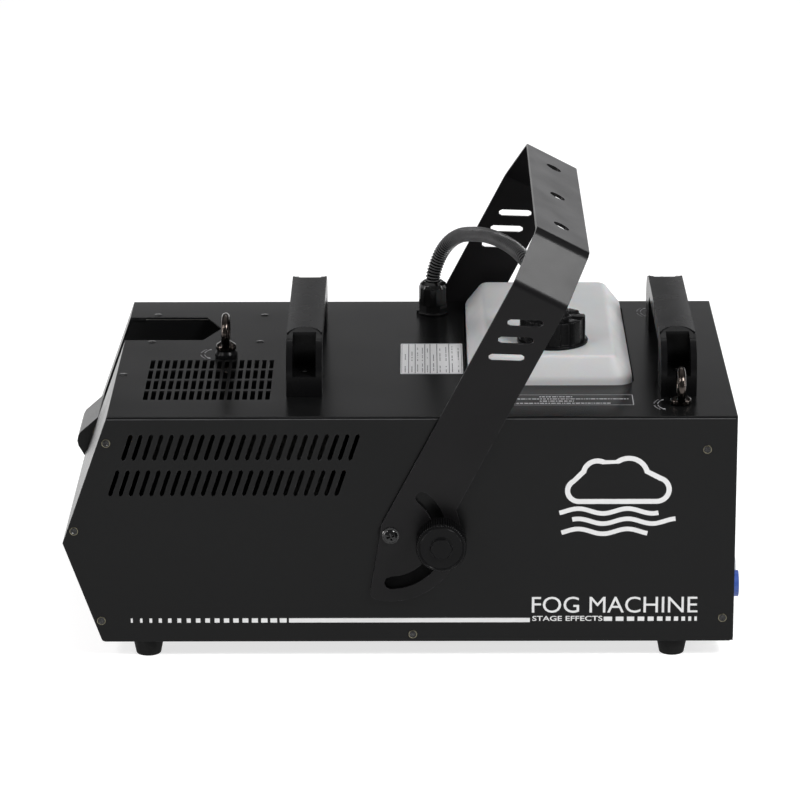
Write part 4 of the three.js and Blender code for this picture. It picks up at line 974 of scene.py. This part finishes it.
def make_handle(end):
    node = f"handle_{end}"
    box = Box(node)
    x, base, half, height, width = box.centre.x, box.low.z, box.size.y / 2, box.size.z, box.size.x / 2
    block, under, lip, floor, centre = 19, 50, 97, 52.9, 104
    curve = arc(-centre, block, half - centre, 180, 94.3, 22, under - block)
    left = [(-half, 0), *curve, (-lip, floor), (-lip, height)]
    outline = [(y, z + base) for y, z in left + [(-y, z) for y, z in reversed(left)]]
    rings = [[(x + width * k / 6, y, z) for y, z in outline] for k in range(-6, 7)]
    shape = Shape().add(loft(rings))
    points, faces = filled(outline)
    for end_x in (x - width, x + width):
        shape.add(([(end_x, y, z) for y, z in points], faces))
    handle = make_object(f"grip_{end}", shape, ["black_plastic"])
    corners = [*arc(-70, 26, 12, 180, 90, 8), *arc(70, 26, 12, 90, 0, 8)]
    finger = dict.fromkeys([(-82, -5), (-82, 26), *corners, (82, 26), (82, -5)])
    finger = [(y, z + base) for y, z in finger]
    tools = [Shape().add(yz_prism(finger, x - 30, x + 30))]
    for sign in (-1, 1):
        for start, low, high in ((86, block, under), (95, under - 1, height + 5)):
            y0, y1 = sorted((sign * start, sign * (half + 5)))
            pocket = [(y0, base + low), (y1, base + low), (y1, base + high), (y0, base + high)]
            tools.append(Shape().add(yz_prism(pocket, x - 11, x + 11)))
        tools.append(dish(x, sign, base, height, floor, lip))
    cut_away(handle, tools)
    for vertex in handle.data.vertices:
        across = (vertex.co.x / MM - x) / width
        raised = max(0, vertex.co.z / MM - base - floor + 4) / (height - floor + 4)
        vertex.co.z -= 2.1 * raised * across * across * MM
    handle.data.polygons.foreach_set("use_smooth", [True] * len(handle.data.polygons))
    soften_edges(handle, 1.1, 3, 36)
    place(handle, "chassis", "black_plastic", [node])
    head, screws = screw_head(4.4, 1.6, rim=0.6), Shape()
    for sign in (-1, 1):
        add_screw(screws, head, facing((x, sign * 110, base + block), (0, 0, 1), (1, 0, 0)))
    piece(f"grip_screws_{end}", screws, ["screw_black"], "chassis", "dark_steel")


def make_bush():
    box = Box("lock_bush_front")
    low, high = box.low.z, box.high.z
    corners = [(4.3, low), (11, low), (11, low + 3.6), (9.4, high - 0.6), (8.6, high), (4.3, high)]
    profile = softened(corners, 0.8, 3)
    shape = Shape().add(turned(profile, 48), 0, upright(box.centre.x, box.centre.y))
    piece("bush_moulded", shape, ["black_plastic"], "chassis", "black_plastic", ["lock_bush_front"], angle=40)


def make_chute_edge():
    """The bare edge of the chute's far wall, just under the notch."""
    far = Box("outlet_chute").high.y - 14
    edge = [Vector((x, far - 0.6, TOP - 2.7)) for x in (-256, -235, -210, -184)]
    shape = Shape().add(tube(edge, lambda i: 0.32, 10))
    piece("chute_edge", shape, ["zinc_steel"], "chassis", "zinc_steel")


def make_fold_highlights():
    """A painted highlight along the outer line of the fold on both long edges of the case top, where the fold
    catches the light.
    """
    for side, _, wall in SIDES:
        line = [Vector((x, wall, TOP - 2.1)) for x in (REAR - 583, REAR - 400, REAR - 200, REAR - 2)]
        shape = Shape().add(tube(line, lambda i: 0.33, 8))
        piece(f"fold_{side}", shape, ["fold_highlight_paint"], "chassis", "case_paint")


def make_slot_shades():
    """A painted shadow: a thin near-black matte arc on each case wall, under the lower half of the yoke's
    slot, for the shade in the gap behind the arm.
    """
    for side, sign, wall in SIDES:
        pivot, clamp = Box(f"pivot_screw_{side}").centre, Box(f"clamp_knob_{side}").centre
        reach = math.hypot(clamp.x - pivot.x, clamp.z - pivot.z)
        line = arc(-sign * pivot.x, pivot.z, reach, 270 + 10 * sign, 270 - 80 * sign, 24)
        shape = Shape().add(stroke(line, 15.5), 0, facing((0, wall + sign * 0.12, 0), (0, sign, 0)))
        piece(f"slot_shade_{side}", shape, ["slot_shade_matte"], "chassis", "rubber", angle=0)


def make_eye(place_name):
    node = f"lock_eye_{place_name}"
    box = Box(node)
    x, y = box.centre.x, box.centre.y
    seat = box.high.z - 36
    rings = []
    for i in range(72):
        a = math.tau * i / 72
        out = Vector((0, math.cos(a), math.sin(a)))
        centre = Vector((x, y, seat + 18)) + out * 14
        rings.append([centre + out * 4 * math.cos(b) + Vector((4 * math.sin(b), 0, 0))
                      for b in (math.tau * k / 24 for k in range(24))])
    shape = Shape().add(loft(rings + rings[:1]))
    shank = [(0, seat), (9.3, seat), (10, seat + 0.6), (10, seat + 4.2), (9.2, seat + 5.2), (7.2, seat + 6.4),
             (5.2, seat + 7.8), (0, seat + 8)]
    shape.add(turned(shank, 64), 0, upright(x, y))
    eye = make_object(f"eye_{place_name}_forged", shape, ["dark_steel"])
    remesh = eye.modifiers.new("cast", "REMESH")
    remesh.mode = "VOXEL"
    remesh.voxel_size = 0.0006
    smooth = eye.modifiers.new("smooth", "SMOOTH")
    smooth.factor, smooth.iterations = 0.5, 7
    apply_modifiers(eye)
    eye.data.polygons.foreach_set("use_smooth", [True] * len(eye.data.polygons))
    place(eye, f"eye_{place_name}", "dark_steel", [node])
    thread = [(0, box.low.z), (3, box.low.z), (4, box.low.z + 1)]
    turns = 18
    for k in range(turns):
        z = box.low.z + 1.5 + k * (seat - box.low.z - 2) / turns
        thread += [(4, z), (3.55, z + 0.35)]
    thread += [(4, seat - 0.2), (4, seat + 1), (0, seat + 1)]
    stud = Shape().add(turned(thread, 32), 0, upright(x, y))
    piece(f"eye_{place_name}_stud", stud, ["dark_steel"], f"eye_{place_name}", "dark_steel")


def make_knob(side, sign):
    node = f"clamp_knob_{side}"
    box = Box(node)
    back = sign * (box.low.y if sign > 0 else box.high.y)
    front = back + box.size.y
    teeth = 64

    def knurl(angle, r, h):
        if r > 22.2:
            tooth = abs((angle * teeth / math.tau) % 1 - 0.5) * 2
            return r - 1.0 * (1 - min(1, tooth * 1.7)), h
        if 8.8 < r < 10.5 and h > front - 2.6:
            return r * (1 - 0.035 * (1 - math.cos(6 * angle))), h
        return r, h

    hub = [(4.3, 2), (4.3, 0), (12.4, 0), (13, 0.6), (13, 7), (14, 7.7), (21.5, 7.7)]
    hub += [(22.4, 8), (23.2, 8.8), (23.5, 9.8)]
    face = [(23.5, 5.6), (23.3, 4.6), (22.6, 3.7), (21.8, 3.2), (21.0, 3.0), (20.5, 3.5), (19.9, 3.5)]
    face += [(19.4, 3.0), (15, 3.1), (11.4, 3.1), (10.7, 3.0), (10.4, 2.4), (10.1, 0.8), (9.4, 0), (0, 0)]
    profile = [(r, back + h) for r, h in hub] + [(r, front - h) for r, h in face]
    matrix = facing((box.centre.x, 0, box.centre.z), (0, sign, 0))
    shape = Shape().add(turned(profile, teeth * 6, knurl), 0, matrix)
    piece(f"knob_{side}_knurled", shape, ["black_plastic"], f"knob_{side}", "black_plastic", [node], angle=40)


def make_foot(name):
    box = Box(f"foot_{name}")
    top = box.high.z
    profile = [(0, 5), (3.4, 5), (3.4, 1.2), (4.4, 0.0)]
    profile += softened([(9, 0), (11.6, 0), (14.4, top - 4), (14.5, top), (12, top)], 1.3, 5)
    shape = Shape().add(turned([*profile, (0, top)], 64), 0, upright(box.centre.x, box.centre.y))
    piece(f"foot_{name}_moulded", shape, ["rubber"], "chassis", "rubber", [f"foot_{name}"], angle=40)


# ------------------------------------------------------------------ rear panel details
def ring_of_three(radius, start):
    """Three places 120 degrees apart, the first at the angle start."""
    return arc(0, 0, radius, start, start + 240, 2)


def make_display():
    box = Box("display_window")
    plate = rounded_rectangle(box.low.y + 8, box.high.y - 8, box.low.z + 8, box.high.z - 8, 1)
    shape = Shape().add(yz_prism(plate, REAR + 0.86, REAR + 1.0))
    letters = 16
    for rise in (3.2, -6.4):
        z = box.centre.z + rise
        for k in range(letters):
            y = box.low.y + 11.5 + k * (box.size.y - 23) / letters
            if random.random() < 0.72:
                cell = [(y, z), (y + 2.5, z), (y + 2.5, z + 3.6), (y, z + 3.6)]
                shape.add(yz_prism(cell, REAR + 0.95, REAR + 1.04), 1)
    piece("display_face", shape, ["screen_lcd", "screen_glass"], "chassis", "display", angle=0)


def make_contacts():
    """Contacts and insulators inside the round connectors."""
    shape = Shape()
    inlet, outlet, male, female = (Box(node).centre for node in CONNECTORS)
    signal_floor, mains_face = REAR + 3 - 15 - 0.5, REAR + 8 - 2
    pin = turned([(1.2, 0), (1.2, 10.5), (1.0, 11.3), (0.5, 11.8), (0, 11.9)], 20)
    insert = facing((signal_floor, male.y, male.z), (1, 0, 0))
    for x, y in ring_of_three(3.9, 90):
        shape.add(pin, 0, insert @ upright(x, y))
    holes = [arc(x, y, 1.35, 0, 360, 16)[:-1] for x, y in ring_of_three(3.9, 30)]
    disc = arc(0, 0, 7.6, 0, 360, 40)[:-1]
    shape.add(slab(disc, 0, 14, holes), 1, facing((signal_floor, female.y, female.z), (1, 0, 0)))
    blade = rounded_rectangle(-0.6, 0.6, -1.4, 1.4, 0.4, steps=3)
    for centre in (inlet, outlet):
        face = facing((mains_face, centre.y, centre.z), (1, 0, 0))
        for x, y in ring_of_three(2.5, 90):
            turn = Matrix.Rotation(math.atan2(y, x), 4, "Z")
            shape.add(slab(blade, -0.2, 0.25), 0, face @ upright(x, y) @ turn)
    piece("connector_contacts", shape, ["brass", "black_plastic"], "chassis", "brass", bevel=0.12)


def make_latch():
    box = Box("signal_output")
    tab = rounded_rectangle(box.centre.y - 4, box.centre.y + 4, box.high.z - 3.6, box.high.z - 0.6, 0.8)
    shape = Shape().add(yz_prism(tab, REAR + 2.3, REAR + 4.2))
    piece("signal_latch", shape, ["connector_nickel"], "chassis", "connector_nickel", bevel=0.3)


def make_rocker_marks():
    box = Box("power_rocker")
    shape = Shape()
    slope = facing((box.high.x - 1.15, box.centre.y, box.centre.z + 6.2), (0.977, 0, -0.21))
    shape.add(slab(rounded_rectangle(-0.5, 0.5, -2.2, 2.2, 0.4, steps=3), 0, 0.12), 0, slope)
    low = facing((box.high.x - 2.8, box.centre.y, box.centre.z - 5.8), (0.997, 0, -0.07))
    ring = arc(0, 0, 2.3, 0, 360, 28)[:-1]
    hole = arc(0, 0, 1.5, 0, 360, 28)[:-1]
    shape.add(slab(ring, 0, 0.12, [hole]), 0, low)
    piece("rocker_marks", shape, ["print_white"], "rocker", "red_plastic")


make_camera()
make_floor()
make_world()
make_lights()
bpy.context.scene.view_settings.view_transform = "Standard"
make_paints()
make_plastics()
make_metals()
dress_nodes()
make_case_screws()
make_panel_screws()
make_pivot_screws()
for side, sign, wall in SIDES:
    side_print(side, sign, wall)
make_rating_label()
make_notice()
make_turn_legends()
make_rear_print()
make_can()
make_cap()
make_hose()
make_gland()
for end in ("front", "rear"):
    make_handle(end)
for eye in EYES:
    make_eye(eye)
for side, sign, _ in SIDES:
    make_knob(side, sign)
for foot in ("front_left", "front_right", "rear_left", "rear_right"):
    make_foot(foot)
make_bush()
make_fold_highlights()
make_slot_shades()
make_chute_edge()
make_display()
make_contacts()
make_latch()
make_rocker_marks()
